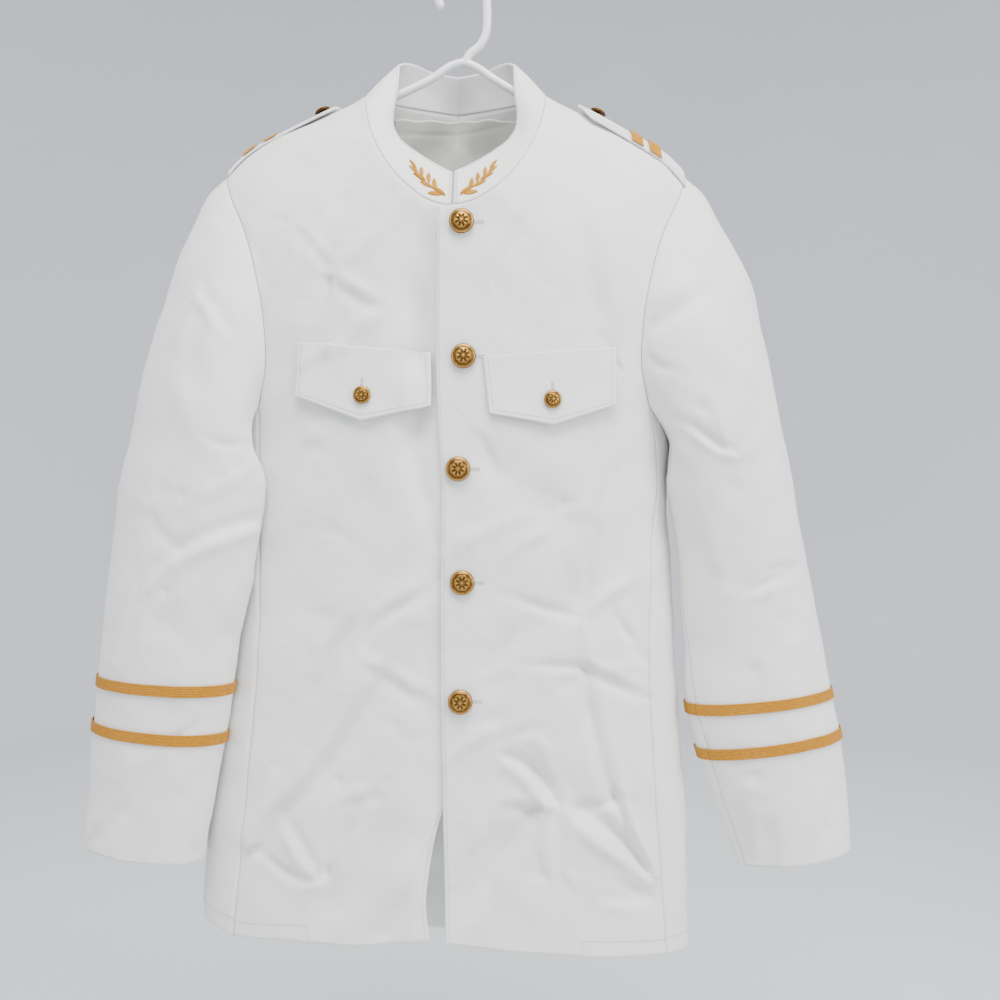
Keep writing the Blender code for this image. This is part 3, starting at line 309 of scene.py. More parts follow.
# Creases pressed into the cloth: height, roll (one side up, the other down), half width at both ends,
# strength at both ends, then the line they follow in jacket x and z
FRONT_CREASES = (
    (-1.6, -1.2, 7, 8, 0.3, 0.6, ((-87, -218), (-100, -235), (-109, -249), (-120, -271))),
    (0.9, 0, 6, 6, 0.2, 0.2, ((-131, -260), (-139, -271))),
    (0.9, 0, 6, 6, 0.2, 0.2, ((-151, -289), (-138, -280))),
    (-1.2, 0, 5, 5, 0.3, 0.5, ((-136, -273), (-118, -296), (-106, -311))),
    (0, 1.6, 10, 12, 0.3, 0.8, ((-56, -244), (-66, -258), (-91, -285), (-104, -300), (-107, -311))),
    (0, 1.6, 7, 7, 0.5, 0.2, ((-106, -314), (-91, -323), (-72, -334), (-63, -336))),
    (-1.2, 0, 5, 5, 0.2, 0.2, ((-81, -344), (-63, -336))),
    (1.8, 0.6, 8, 8, 0.3, 0.8, ((-60, -338), (-81, -351), (-96, -367), (-102, -376))),
    (1.2, -0.6, 6, 9, 0.8, 0.2, ((-105, -378), (-118, -387), (-134, -400))),
    (1.0, 0, 10, 12, 0.3, 0.2, ((-136, -329), (-139, -351), (-149, -374))),
    (-0.9, 0, 4, 4, 0.3, 0.3, ((-163, -255), (-149, -259))),
    (-3.2, 0, 9, 17, 0.2, 0.9, ((-47, -276), (-42, -307), (-38, -334), (-32, -369), (-40, -405))),
    (-2.6, 0, 9, 7, 0.9, 0.3, ((-40, -423), (-36, -445), (-36, -467), (-32, -490), (-25, -512), (-15, -548))),
    (1.5, 0, 10, 8, 0.5, 0.2, ((-113, -441), (-127, -454), (-139, -463))),
    (-0.8, 0, 6, 6, 0.2, 0.2, ((-138, -460), (-109, -472))),
    (-2.4, -2.2, 7, 10, 0.2, 0.5, ((-73, -602), (-82, -615), (-96, -626), (-105, -637), (-114, -650), (-120, -665), (-129, -681), (-136, -695), (-145, -713), (-154, -731), (-163, -748))),
    (2.6, 0, 14, 16, 0.3, 0.4, ((-67, -630), (-81, -650), (-96, -677), (-109, -695), (-123, -719), (-136, -744))),
    (0, -2.6, 8, 10, 0.3, 1, ((-67, -665), (-72, -677), (-81, -690), (-91, -706), (-105, -728), (-118, -746), (-131, -764), (-145, -780), (-163, -797), (-180, -824))),
    (-1.8, -1.6, 8, 7, 0.2, 0.5, ((-13, -581), (-27, -592), (-47, -604), (-57, -610), (-69, -619), (-78, -632), (-81, -639))),
    (-1.2, 0, 9, 8, 0.2, 0.3, ((-38, -554), (-48, -566), (-57, -583), (-69, -601))),
    (0.7, 0, 6, 6, 0.2, 0.2, ((-60, -616), (-38, -617), (-15, -619))),
    (0, 1.5, 8, 8, 0.6, 0.3, ((-67, -665), (-51, -674), (-38, -683), (-24, -688), (-15, -695))),
    (-1.3, 0, 6, 6, 0.3, 0.3, ((-65, -718), (-56, -714), (-48, -720))),
    (-1.0, 0, 7, 7, 0.2, 0.3, ((-51, -726), (-38, -728), (-18, -724))),
    (-1.8, 0, 5, 5, 0.3, 0.3, ((-109, -766), (-100, -767))),
    (-1.6, 0, 4, 4, 0.3, 0.3, ((-87, -768), (-75, -765))),
    (-0.9, 0, 7, 6, 0.3, 0.3, ((-131, -538), (-105, -541), (-96, -548), (-84, -555))),
    (-0.8, 0, 7, 7, 0.3, 0.3, ((-127, -615), (-96, -621))),
    (-0.8, 0, 7, 7, 0.3, 0.3, ((-136, -646), (-123, -659))),
    (-2.2, 0.6, 4, 6, 0.4, 0.8, ((-178, -835), (-167, -840), (-158, -846), (-149, -851), (-136, -855), (-123, -854), (-113, -849))),
    (-1.6, 0, 5, 4, 0.8, 0.3, ((-113, -849), (-109, -841), (-111, -833))),
    (1.6, 0, 6, 5, 0.3, 0.3, ((-136, -863), (-123, -860), (-112, -855))),
    (0, -1.6, 8, 7, 0.3, 0.7, ((-158, -802), (-145, -820), (-136, -835), (-128, -847))),
    (0, 1.7, 9, 8, 0.3, 0.8, ((-82, -793), (-91, -811), (-100, -829), (-108, -844))),
    (-1.5, 0, 5, 5, 0.3, 0.6, ((-111, -793), (-98, -787), (-85, -782))),
    (1.4, 0, 6, 5, 0.3, 0.3, ((-120, -796), (-100, -785), (-87, -776), (-77, -768))),
    (0, -1.6, 10, 8, 0.3, 0.3, ((-65, -766), (-76, -778), (-81, -793))),
    (3.0, 0, 13, 16, 0.3, 0.6, ((-20, -802), (-32, -829), (-47, -853), (-61, -871), (-78, -885), (-96, -897))),
    (-2.8, 0, 8, 12, 0.2, 1, ((-36, -858), (-45, -873), (-53, -888), (-60, -904))),
    (1.6, 0, 8, 12, 0.2, 1, ((-25, -851), (-30, -873), (-34, -903))),
    (-0.9, 0, 14, 14, 0.3, 0.5, ((-100, -860), (-109, -882), (-114, -900))),
    (0, 1.6, 16, 14, 0.2, 0.6, ((112, -218), (118, -244), (125, -271), (131, -302), (136, -329), (142, -356), (147, -374))),
    (0, -1.2, 12, 10, 0.2, 0.6, ((67, -231), (59, -258), (51, -276), (42, -298), (38, -316))),
    (-0.8, 0, 9, 8, 0.3, 0.3, ((83, -307), (92, -320), (103, -338), (109, -351))),
    (1.2, 0, 7, 7, 0.3, 0.3, ((132, -347), (139, -365))),
    (1.2, 0, 12, 10, 0.3, 0.3, ((158, -244), (167, -267), (176, -289))),
    (-1.3, 0.8, 9, 8, 0.6, 0.2, ((2, -441), (11, -452), (25, -458), (34, -472), (42, -485), (53, -490))),
    (1.3, 0, 8, 7, 0.6, 0.2, ((111, -450), (105, -458), (98, -476), (89, -499))),
    (-2.4, 1.4, 5, 6, 0.3, 0.9, ((148, -487), (142, -499), (137, -512), (133, -525), (131, -543), (127, -566), (123, -592), (120, -608), (116, -619))),
    (2.0, 0.6, 6, 7, 0.9, 0.2, ((116, -619), (132, -606), (142, -599), (154, -592), (176, -583))),
    (-2.0, 0, 4, 5, 0.2, 0.5, ((142, -603), (148, -615), (154, -628), (163, -639), (169, -650), (175, -659))),
    (-1.8, -1.0, 5, 5, 0.2, 0.9, ((42, -599), (60, -604), (83, -612), (100, -617), (111, -619))),
    (-0.9, 0, 7, 6, 0.8, 0.2, ((111, -606), (105, -583), (96, -557), (93, -543))),
    (1.1, 1.0, 6, 6, 0.3, 0.3, ((54, -564), (65, -554), (78, -546), (92, -538))),
    (-1.8, 0, 5, 4, 0.3, 0.3, ((92, -519), (100, -515), (109, -512))),
    (1.0, 0, 6, 6, 0.3, 0.3, ((96, -524), (123, -523), (130, -528))),
    (1.7, 0, 8, 7, 0.6, 0.3, ((-6, -561), (7, -552), (25, -543), (42, -534), (60, -528), (74, -528))),
    (-1.7, 0, 4, 4, 0.3, 0.3, ((10, -533), (21, -531))),
    (-1.0, 0, 6, 6, 0.3, 0.3, ((2, -500), (7, -512), (5, -525), (0, -539), (-5, -555))),
    (-1.5, 0, 5, 5, 0.7, 0.2, ((-4, -648), (16, -648), (32, -648))),
    (-1.8, 0, 4, 5, 0.3, 0.3, ((65, -630), (56, -632), (49, -641), (44, -650), (40, -659), (32, -664), (25, -662))),
    (-2.0, -1.0, 4, 5, 0.3, 0.9, ((62, -662), (85, -663), (114, -665), (125, -666))),
    (-1.2, 0, 7, 6, 0.3, 0.3, ((16, -690), (34, -680), (51, -674), (69, -665))),
    (-2.2, 1.8, 6, 7, 0.9, 0.4, ((125, -666), (141, -673), (154, -680), (172, -689))),
    (1.0, 0, 6, 5, 0.6, 0.2, ((125, -666), (150, -665), (175, -663))),
    (1.8, 0, 7, 7, 0.9, 0.9, ((114, -619), (121, -641), (125, -666))),
    (-2.0, 1.8, 8, 9, 0.6, 0.8, ((125, -669), (128, -699), (132, -722), (136, -739), (141, -757), (149, -780))),
    (-1.8, 0, 5, 6, 0.3, 0.3, ((121, -690), (123, -708), (118, -720))),
    (-1.3, 0, 5, 6, 0.6, 0.2, ((118, -671), (100, -680), (90, -688))),
    (2.2, 0.6, 8, 8, 0.5, 0.3, ((-5, -748), (16, -731), (42, -715), (53, -706))),
    (-1.7, 0, 6, 5, 0.3, 0.3, ((25, -714), (53, -705))),
    (-1.7, 0, 4, 5, 0.3, 0.3, ((42, -728), (65, -720), (76, -717), (83, -724))),
    (1.4, 0, 6, 6, 0.3, 0.6, ((60, -728), (78, -731), (85, -742), (88, -758))),
    (-4.2, -2.6, 5, 7, 0.4, 0.9, ((50, -745), (60, -749), (72, -758), (83, -771), (89, -782))),
    (3.0, 0, 6, 6, 0.5, 0.8, ((45, -751), (56, -757), (66, -767), (76, -779), (83, -787))),
    (-2.2, 0, 5, 5, 0.3, 0.4, ((47, -789), (60, -791), (73, -797))),
    (1.8, 0, 6, 7, 0.3, 0.6, ((42, -782), (60, -781), (83, -785))),
    (0, 2.6, 8, 12, 0.9, 0.4, ((73, -799), (60, -820), (51, -835), (42, -851), (34, -867), (20, -885))),
    (0, -1.6, 10, 10, 0.3, 0.3, ((47, -787), (35, -805), (25, -822), (11, -838), (2, -853))),
    (1.6, 0, 7, 6, 0.8, 0.4, ((83, -787), (84, -815), (85, -842), (86, -856))),
    (-1.5, 0, 6, 6, 0.2, 0.7, ((70, -820), (76, -838), (83, -855))),
    (-1.3, 0, 5, 5, 0.7, 0.3, ((83, -855), (74, -849), (64, -846))),
    (-1.3, 0, 5, 6, 0.7, 0.4, ((94, -785), (96, -815), (97, -844), (103, -860))),
    (1.6, 0, 5, 5, 0.3, 0.3, ((99, -842), (112, -862))),
    (-7.5, 0, 9, 3, 0.5, 0.4, ((117, -795), (135, -805), (154, -822), (167, -838), (178, -853))),
    (-3.0, 0, 5, 5, 0.3, 0.6, ((103, -789), (123, -791), (141, -790), (153, -784))),
    (0, 3.0, 5, 4, 0.5, 0.6, ((151, -780), (157, -797), (164, -820), (172, -838), (182, -857))),
    (3.2, 0, 8, 6, 0.6, 0.6, ((98, -782), (109, -803), (129, -822), (150, -838), (167, -853), (182, -862))),
    (-2.6, 1.2, 6, 7, 0.3, 0.6, ((157, -862), (167, -869), (177, -874))),
    (-1.2, 0, 5, 5, 0.3, 0.4, ((132, -871), (150, -876), (167, -880), (179, -877))),
    (1.0, 0, 6, 6, 0.3, 0.3, ((132, -878), (150, -884), (172, -888))),
    (-1.1, 0, 9, 9, 0.3, 0.5, ((67, -869), (67, -896), (67, -912))),
    (-0.9, 0, 10, 10, 0.3, 0.5, ((114, -864), (123, -887), (125, -904))),
    (0.9, 0, 9, 9, 0.3, 0.5, ((31, -873), (29, -891), (26, -909))),
    (-1.2, 0, 7, 7, 0.3, 0.3, ((5, -758), (18, -769))),
)

SLEEVE_CREASES = (
    (-1.2, 0, 8, 8, 0.3, 0.3, ((-212, -272), (-203, -286))),
    (-1.2, 0, 6, 6, 0.3, 0.3, ((-207, -301), (-196, -308))),
    (-1.4, 0, 5, 5, 0.3, 0.3, ((-232, -315), (-221, -312))),
    (2.2, 0, 5, 8, 1, 0.2, ((-232, -329), (-221, -341), (-211, -355), (-200, -367))),
    (-1.8, 0, 5, 7, 0.6, 0.2, ((-224, -329), (-211, -344), (-198, -360), (-187, -370))),
    (1.6, 0, 5, 7, 0.8, 0.2, ((-234, -331), (-243, -353), (-250, -373), (-254, -390))),
    (-1.8, 0, 12, 14, 0.3, 0.3, ((-232, -364), (-229, -396), (-222, -429))),
    (1.0, 0, 10, 10, 0.2, 0.3, ((-246, -408), (-235, -433), (-229, -449))),
    (-1.5, 0, 4, 4, 0.3, 0.6, ((-219, -457), (-203, -463), (-192, -462), (-182, -456))),
    (1.2, 0, 5, 5, 0.3, 0.5, ((-193, -461), (-183, -456), (-175, -445))),
    (-1.4, 0, 5, 5, 0.3, 0.3, ((-183, -471), (-190, -482), (-195, -494))),
    (1.6, 0, 7, 7, 0.3, 0.7, ((-242, -515), (-224, -508), (-205, -500), (-187, -484), (-175, -470))),
    (-1.0, 0, 6, 6, 0.3, 0.3, ((-272, -510), (-260, -499), (-254, -488))),
    (-1.3, 0, 5, 5, 0.3, 0.3, ((-248, -511), (-233, -507))),
    (0.4, 2.4, 8, 9, 0.8, 0.3, ((-177, -534), (-193, -539), (-212, -546), (-230, -554), (-244, -561), (-258, -572), (-274, -586))),
    (-1.3, 0, 6, 6, 0.3, 0.6, ((-272, -526), (-258, -544), (-244, -555))),
    (1.1, 0, 6, 5, 0.5, 0.5, ((-270, -583), (-280, -604), (-290, -628), (-303, -655), (-314, -673))),
    (1.1, 0, 6, 5, 0.4, 0.5, ((-283, -595), (-296, -623), (-309, -651), (-322, -671))),
    (1.1, 0, 6, 5, 0.5, 0.5, ((-257, -588), (-270, -614), (-281, -642), (-296, -667))),
    (-1.3, 0, 6, 5, 0.3, 0.4, ((-277, -597), (-289, -625), (-302, -653))),
    (-1.5, 0, 4, 4, 0.3, 0.3, ((-260, -592), (-253, -593))),
    (-1.8, 0, 16, 16, 0.3, 0.3, ((-261, -604), (-257, -646))),
    (0.9, 0, 7, 7, 0.3, 0.3, ((-247, -591), (-235, -604))),
    (-1.3, 0, 6, 6, 0.3, 0.3, ((-193, -556), (-200, -579), (-205, -597))),
    (-1.3, 0, 6, 6, 0.3, 0.3, ((-204, -616), (-209, -653))),
    (-1.4, 0, 4, 4, 0.3, 0.7, ((-225, -711), (-235, -717), (-244, -723), (-254, -728))),
    (1.0, 0, 6, 6, 0.6, 0.3, ((-274, -740), (-289, -752), (-305, -763))),
    (-1.4, -1.2, 8, 8, 0.3, 0.6, ((-275, -754), (-290, -776), (-304, -794), (-318, -809), (-328, -817))),
    (-1.2, 0, 8, 8, 0.3, 0.3, ((-237, -765), (-246, -777), (-254, -788))),
    (-1.6, 0, 6, 6, 0.3, 0.8, ((-234, -823), (-238, -845))),
    (-1.6, 0, 7, 8, 0.3, 0.3, ((226, -221), (224, -248), (220, -273))),
    (-1.4, 0, 8, 8, 0.3, 0.3, ((205, -279), (194, -297), (186, -314))),
    (1.1, 0, 5, 5, 0.3, 0.3, ((218, -275), (225, -292), (228, -305))),
    (2.4, 0, 8, 8, 0.3, 0.8, ((225, -308), (210, -316), (195, -325), (182, -334), (174, -344))),
    (-2.9, 0, 7, 6, 0.3, 0.7, ((229, -325), (218, -332), (204, -341), (192, -350), (182, -354))),
    (1.0, 0, 5, 5, 0.3, 0.3, ((175, -364), (192, -371))),
    (-1.2, 0, 4, 4, 0.7, 0.3, ((178, -383), (189, -392), (202, -395))),
    (1.1, 0, 5, 5, 0.7, 0.3, ((178, -375), (190, -380))),
    (-1.0, 0, 6, 6, 0.3, 0.3, ((233, -316), (236, -330))),
    (1.3, 0, 9, 10, 0.3, 0.3, ((229, -336), (235, -359), (244, -380), (264, -394), (285, -415), (301, -443))),
    (-1.0, 0, 5, 5, 0.3, 0.3, ((253, -384), (269, -375))),
    (-1.5, -1.6, 5, 5, 0.2, 0.9, ((205, -442), (218, -450), (230, -459), (240, -466), (250, -469))),
    (-1.0, 0, 5, 5, 0.3, 0.3, ((215, -426), (232, -433))),
    (1.1, 0, 6, 5, 0.3, 0.8, ((232, -420), (239, -438), (244, -455), (248, -468))),
    (1.0, 0, 6, 6, 0.8, 0.3, ((250, -469), (263, -469), (276, -460))),
    (-0.9, 0, 10, 10, 0.3, 0.3, ((303, -449), (294, -468), (283, -484))),
    (1.1, 0, 8, 8, 0.3, 0.3, ((198, -456), (209, -471), (220, -482))),
    (-1.0, 0, 10, 10, 0.3, 0.3, ((248, -492), (258, -514))),
    (-1.8, 0, 9, 10, 0.3, 0.4, ((215, -523), (226, -554), (232, -586), (236, -616))),
    (-1.9, 0, 4, 4, 0.2, 0.5, ((264, -596), (278, -592), (290, -586), (303, -582), (315, -575))),
    (-1.5, 0, 4, 4, 0.3, 0.3, ((281, -580), (297, -575), (312, -571))),
    (1.6, 0, 5, 5, 0.3, 0.3, ((267, -603), (283, -597), (298, -592))),
    (0.9, 0, 9, 9, 0.3, 0.3, ((228, -544), (241, -568), (255, -575))),
    (-1.2, 0, 5, 5, 0.3, 0.3, ((270, -666), (283, -670))),
    (-1.0, 0, 12, 12, 0.3, 0.3, ((311, -604), (306, -642))),
    (-1.7, 0, 4, 4, 0.3, 0.3, ((268, -770), (276, -766), (283, -772))),
    (1.2, 0, 5, 5, 0.3, 0.3, ((269, -777), (280, -781))),
    (-1.4, 0, 4, 4, 0.3, 0.3, ((323, -752), (324, -773), (323, -791))),
    (-0.9, 0, 7, 7, 0.3, 0.3, ((337, -821), (350, -815))),
    (-3.2, 0, 8, 9, 0.2, 1, ((258, -780), (266, -815), (272, -851))),
    (-2.8, 0, 8, 9, 0.2, 1, ((285, -797), (290, -826), (290, -854))),
    (1.0, 0, 7, 7, 0.3, 0.3, ((303, -651), (320, -642))),
)

# Hidden sides: creases of the same kinds on the backs and the sleeves' backs
BACK_CREASES = (
    (1.8, 0.6, 12, 16, 0.3, 0.4, ((-30, -170), (-55, -230), (-78, -300), (-90, -380))),
    (-2.0, -1.2, 9, 12, 0.3, 0.5, ((20, -205), (45, -250), (78, -290), (120, -315))),
    (-2.2, 1.4, 7, 10, 0.6, 0.3, ((-150, -330), (-120, -372), (-92, -405), (-50, -430))),
    (1.6, 0.8, 9, 9, 0.3, 0.3, ((60, -360), (95, -400), (140, -425))),
    (-1.6, -1.0, 6, 8, 0.8, 0.2, ((-6, -455), (-40, -480), (-80, -495), (-125, -530))),
    (1.9, 1.0, 10, 13, 0.4, 0.4, ((30, -470), (58, -540), (80, -610), (94, -690))),
    (-2.4, -1.6, 8, 9, 0.3, 0.8, ((130, -590), (100, -640), (66, -676), (28, -700))),
    (-1.8, 1.6, 7, 9, 0.8, 0.3, ((28, -700), (60, -722), (98, -735), (135, -770))),
    (1.7, 0.6, 8, 10, 0.3, 0.3, ((-30, -610), (-64, -650), (-104, -672))),
    (-2.6, -1.8, 8, 11, 0.3, 0.7, ((-60, -700), (-84, -750), (-112, -800), (-128, -860))),
    (2.2, 1.2, 10, 12, 0.3, 0.6, ((-20, -760), (-38, -830), (-52, -900), (-60, -950))),
    (-2.4, 1.6, 9, 14, 0.2, 0.9, ((60, -800), (72, -860), (80, -950))),
    (1.8, 0, 10, 14, 0.2, 0.9, ((110, -820), (120, -880), (126, -945))),
    (-1.6, 0, 7, 7, 0.3, 0.3, ((-140, -560), (-120, -585), (-96, -598))),
)
SLEEVE_BACK_CREASES = (
    (-2.0, 1.4, 8, 9, 0.4, 0.6, ((205, -330), (235, -352), (262, -380))),
    (1.8, 0.8, 8, 9, 0.4, 0.3, ((200, -365), (230, -392), (255, -430))),
    (-1.8, 1.6, 7, 9, 0.3, 0.7, ((215, -500), (250, -522), (290, -560), (312, -590))),
    (1.4, 1.0, 8, 8, 0.3, 0.3, ((300, -610), (270, -630), (240, -640))),
    (-1.6, 0, 9, 9, 0.3, 0.3, ((250, -765), (275, -800), (290, -838))),
    (-2.0, -1.4, 8, 9, 0.4, 0.6, ((-200, -325), (-228, -350), (-258, -372))),
    (1.6, 0.8, 8, 9, 0.4, 0.3, ((-196, -372), (-224, -398), (-240, -440))),
    (-1.8, -1.6, 7, 9, 0.3, 0.7, ((-205, -505), (-240, -528), (-280, -560), (-304, -600))),
    (1.4, 1.0, 8, 8, 0.3, 0.3, ((-290, -620), (-260, -640), (-228, -646))),
    (-1.6, 0, 9, 9, 0.3, 0.3, ((-250, -760), (-272, -796), (-284, -830))),
)
# Faint unevenness: wave length and size
CRUMPLE = ((95, 0.5), (61, 0.32), (38, 0.2), (24, 0.1), (15, 0.05))

FRONT_COLUMNS = 72           # columns of the fine grids
BACK_COLUMNS = 50
SIDE_COLUMNS = 24
HEAD_STEPS = 52
COLLAR_STEPS = 16
SHOULDER_STEPS = 8
CREASE_DEPTH = 1.5           # share of the height written for each crease
ROPE_HEIGHT = 1.2            # the sleeve head stands up beside its seam
BRAID_RIB = 0.45
LEAF_BEND = 0.9
SPRIG_HEIGHT = 1.1
LINING_WAVE = 1.6
LINING_RIPPLE = 0.9
FLAP_STITCH = 4.5
HEM_TURN = 16.0              # the turned hem's stitch above the edge
FACING_END = {"left": 126.0, "right": 112.0}     # where the front facings end, along the hem
BUTTONHOLE = 20.0
# Where the front hem hangs lower: place, half width and drop
HEM_SAGS = {"left": ((60, 26, 1.5), (125, 30, 1.0)), "right": ((85, 40, 4.0), (150, 20, -1.0))}

# Leaves of the sprig: root along the collar and up from its seam, direction in degrees, length, half width
SPRIG = table("reach height turn length width",
              (6, 10, 30, 14, 2.6),
              (9, 9, -6, 13, 2.4),
              (14, 14, 62, 13, 2.6),
              (18, 14, 4, 13, 2.5),
              (22, 18, 70, 12, 2.5),
              (26, 18, 8, 13, 2.5),
              (30, 21, 64, 11, 2.3),
              (34, 20, 14, 12, 2.3),
              (37, 23, 40, 13, 2.4),
              (5, 8, 22, 36, 0.7))

# Soft lights: place and aim in metres, width and height, power in watts
LIGHTS = (
    ("soft_top", (0.2, -1.2, 1.7), (0.0, 0.0, -0.6), (1.8, 1.2), 84),
    ("soft_right", (2.3, -1.6, 0.3), (0.1, 0.0, -0.5), (1.2, 2.0), 40),
    ("soft_left", (-2.3, -1.6, 0.3), (-0.1, 0.0, -0.5), (1.4, 2.2), 14),
    ("soft_back", (0.0, 2.6, 1.4), (0.0, 0.0, -0.5), (2.6, 1.6), 24),
)


def smooth(keys, values, at):
    """Smooth curve through a table: a cubic between rows, with slopes from the neighbouring rows."""
    order = np.argsort(keys)
    keys, values = keys[order], values[order]
    slopes = np.gradient(values, keys)
    at = np.clip(np.asarray(at, float), keys[0], keys[-1])
    k = np.clip(np.searchsorted(keys, at) - 1, 0, len(keys) - 2)
    width = keys[k + 1] - keys[k]
    t = (at - keys[k]) / width
    return ((1 + 2 * t) * (1 - t) ** 2 * values[k] + t * (1 - t) ** 2 * width * slopes[k]
            + t ** 2 * (3 - 2 * t) * values[k + 1] + t ** 2 * (t - 1) * width * slopes[k + 1])


def ease(t):
    """Rises smoothly from 0 to 1 as t goes from 0 to 1."""
    t = np.clip(t, 0, 1)
    return t * t * (3 - 2 * t)


def unit(vectors):
    return vectors / np.maximum(np.linalg.norm(vectors, axis=-1, keepdims=True), 1e-9)


def ridge(x):
    """Level of the shoulder line, carried on in towards the centre and out past the sleeve seam."""
    x = np.abs(x)
    beyond = np.minimum(x - NECK_HALF, 0) + np.maximum(x - SHOULDER["x"][-1], 0)
    hump = 0.0028 * (np.maximum(0, 100 - x) ** 2 - np.maximum(0, 100 - np.maximum(x, NECK_HALF)) ** 2)
    return smooth(SHOULDER["x"], SHOULDER["level"], x) - SHOULDER_SLOPE * beyond + hump


def fullness(drop, reach):
    """Share of the full depth at a drop below the shoulder line, round at the top."""
    share = np.clip(drop / reach, 0, 1)
    return (1 - (1 - share) ** 1.5) ** 0.6


def oval(x, z, side):
    """Share of the depth left at x in the oval cross-section at level z."""
    share = np.clip(np.abs(x) / smooth(BODY["level"], BODY[side], z), 0, 1)
    return (1 - share ** SQUARENESS) ** (1 / SQUARENESS)


def folds(rows, x, z):
    """Depth of the soft folds at x, z: bell-shaped across each fold, fading at its ends."""
    depth = np.zeros(np.broadcast(x, z).shape)
    for k in range(len(rows["x"])):
        slant = math.radians(rows["slant"][k])
        dx, dz = x - rows["x"][k], z - rows["z"][k]
        along = (dx * math.cos(slant) + dz * math.sin(slant)) / rows["length"][k]
        across = (dz * math.cos(slant) - dx * math.sin(slant)) / rows["width"][k]
        depth = depth + rows["depth"][k] * np.exp(-across ** 2 - along ** 4)
    return depth


def front_point(x, z, side, folded=True):
    """Point of the front's middle surface in jacket coordinates, from the side coordinate x."""
    sign = SIGNS[side]
    depth = smooth(BODY["level"], BODY["front"], z) * fullness(ridge(x) - z, FRONT_REACH) * oval(x, z, side)
    y = -depth
    if folded:
        own = {name: column[(FRONT_FOLDS["x"] > 0) | (side == "right")] for name, column in FRONT_FOLDS.items()}
        y = y + folds(own, sign * x, z) * ease((190 - x) / 40)
    if side == "right":
        y = y + LAP_DEPTH * ease((42 - x) / 24)
    return np.stack(np.broadcast_arrays(sign * x, y, z), -1)


def back_point(x, z, side):
    """Point of the back's middle surface in jacket coordinates."""
    sign = SIGNS[side]
    y = smooth(BODY["level"], BODY["back"], z) * fullness(ridge(x) - z, BACK_REACH) * oval(x, z, side)
    y = y - folds(BACK_FOLDS, sign * x, z) * ease((180 - x) / 40)
    return np.stack(np.broadcast_arrays(sign * x, y, z), -1)


def neckline_x(z):
    """Half width of the front neckline at level z, a U-shaped superellipse."""
    share = np.clip((NECK_LEVEL - z) / NECK_DROP, 0, 0.9999)
    return NECK_HALF * (1 - share ** 1.8) ** (1 / 1.9)


def row_value(values, row):
    """A row table's value at fractional row places."""
    return np.interp(row, np.arange(len(values)), values)


def below(start, end):
    """Levels of the rows below the armhole."""
    return np.linspace(start, end, ROWS_BELOW + 1)[1:]


def fine_rows(levels, step):
    """Fractional row places whose levels lie no more than a step apart, closer at the shoulder seam."""
    counts = np.ceil(np.abs(np.diff(levels)) / step).astype(int)
    crest = (np.arange(SHOULDER_STEPS) / SHOULDER_STEPS) ** 2
    return np.concatenate([crest] + [k + 1 + np.arange(n) / n for k, n in enumerate(counts[1:])] + [[len(counts)]])


def ruled(row, start, end, u):
    """x and z between an inner and an outer edge, the top rows curved like the shoulder line."""
    x = start[0][:, None] + (end[0] - start[0])[:, None] * u
    z = start[1][:, None] + (end[1] - start[1])[:, None] * u
    line = NECK_LEVEL - SHOULDER_SLOPE * (x - NECK_HALF)
    near = np.clip(1 - row / SHOULDER_ROWS, 0, 1)[:, None] * (1 - u ** 6)
    z = z + np.where(x > NECK_HALF, ridge(x) - line, 0) * near
    return x, z + (ridge(x) - z) * np.clip(1 - row, 0, 1)[:, None]


def front_edges(side, row):
    """x and z of a front's inner and outer edge at fractional rows."""
    inner_z = row_value(np.concatenate([UPPER_ROWS["neck"], below(UPPER_ROWS["neck"][-1],
                                                                  HEM[side][HEM_FRONT])]), row)
    outer_z = row_value(np.concatenate([UPPER_ROWS["armhole"], below(UPPER_ROWS["armhole"][-1],
                                                                     HEM[side][HEM_FRONT_SEAM])]), row)
    edge_x = np.where(inner_z > FRONT_EDGE["level"][1], np.interp(-inner_z, -FRONT_EDGE["level"], FRONT_EDGE[side]),
                      smooth(FRONT_EDGE["level"][1:], FRONT_EDGE[side][1:], inner_z))
    turn = np.clip(row - (NECK_ROWS - 1), 0, 1)
    neck_x = neckline_x(np.maximum(inner_z, NECK_LEVEL - NECK_DROP))
    inner_x = neck_x * (1 - turn) + edge_x * turn
    outer_x = np.where(row < ARMHOLE_ROWS - 1, smooth(ARMHOLE["level"], ARMHOLE["front"], outer_z),
                       smooth(FRONT_SEAM["level"], FRONT_SEAM[side], outer_z))
    return (inner_x, inner_z), (outer_x, outer_z)


def front_grid(side, row, u):
    """Middle points of a front, from the shoulder seam to the hem and from its edge outward."""
    start, end = front_edges(side, row)
    x, z = ruled(row, start, end, u)
    for sag_x, width, drop in HEM_SAGS[side]:
        z = z - drop * np.exp(-((x - sag_x) / width) ** 2) * ease((row[:, None] - 19) / 4)
    return front_point(x, z, side)


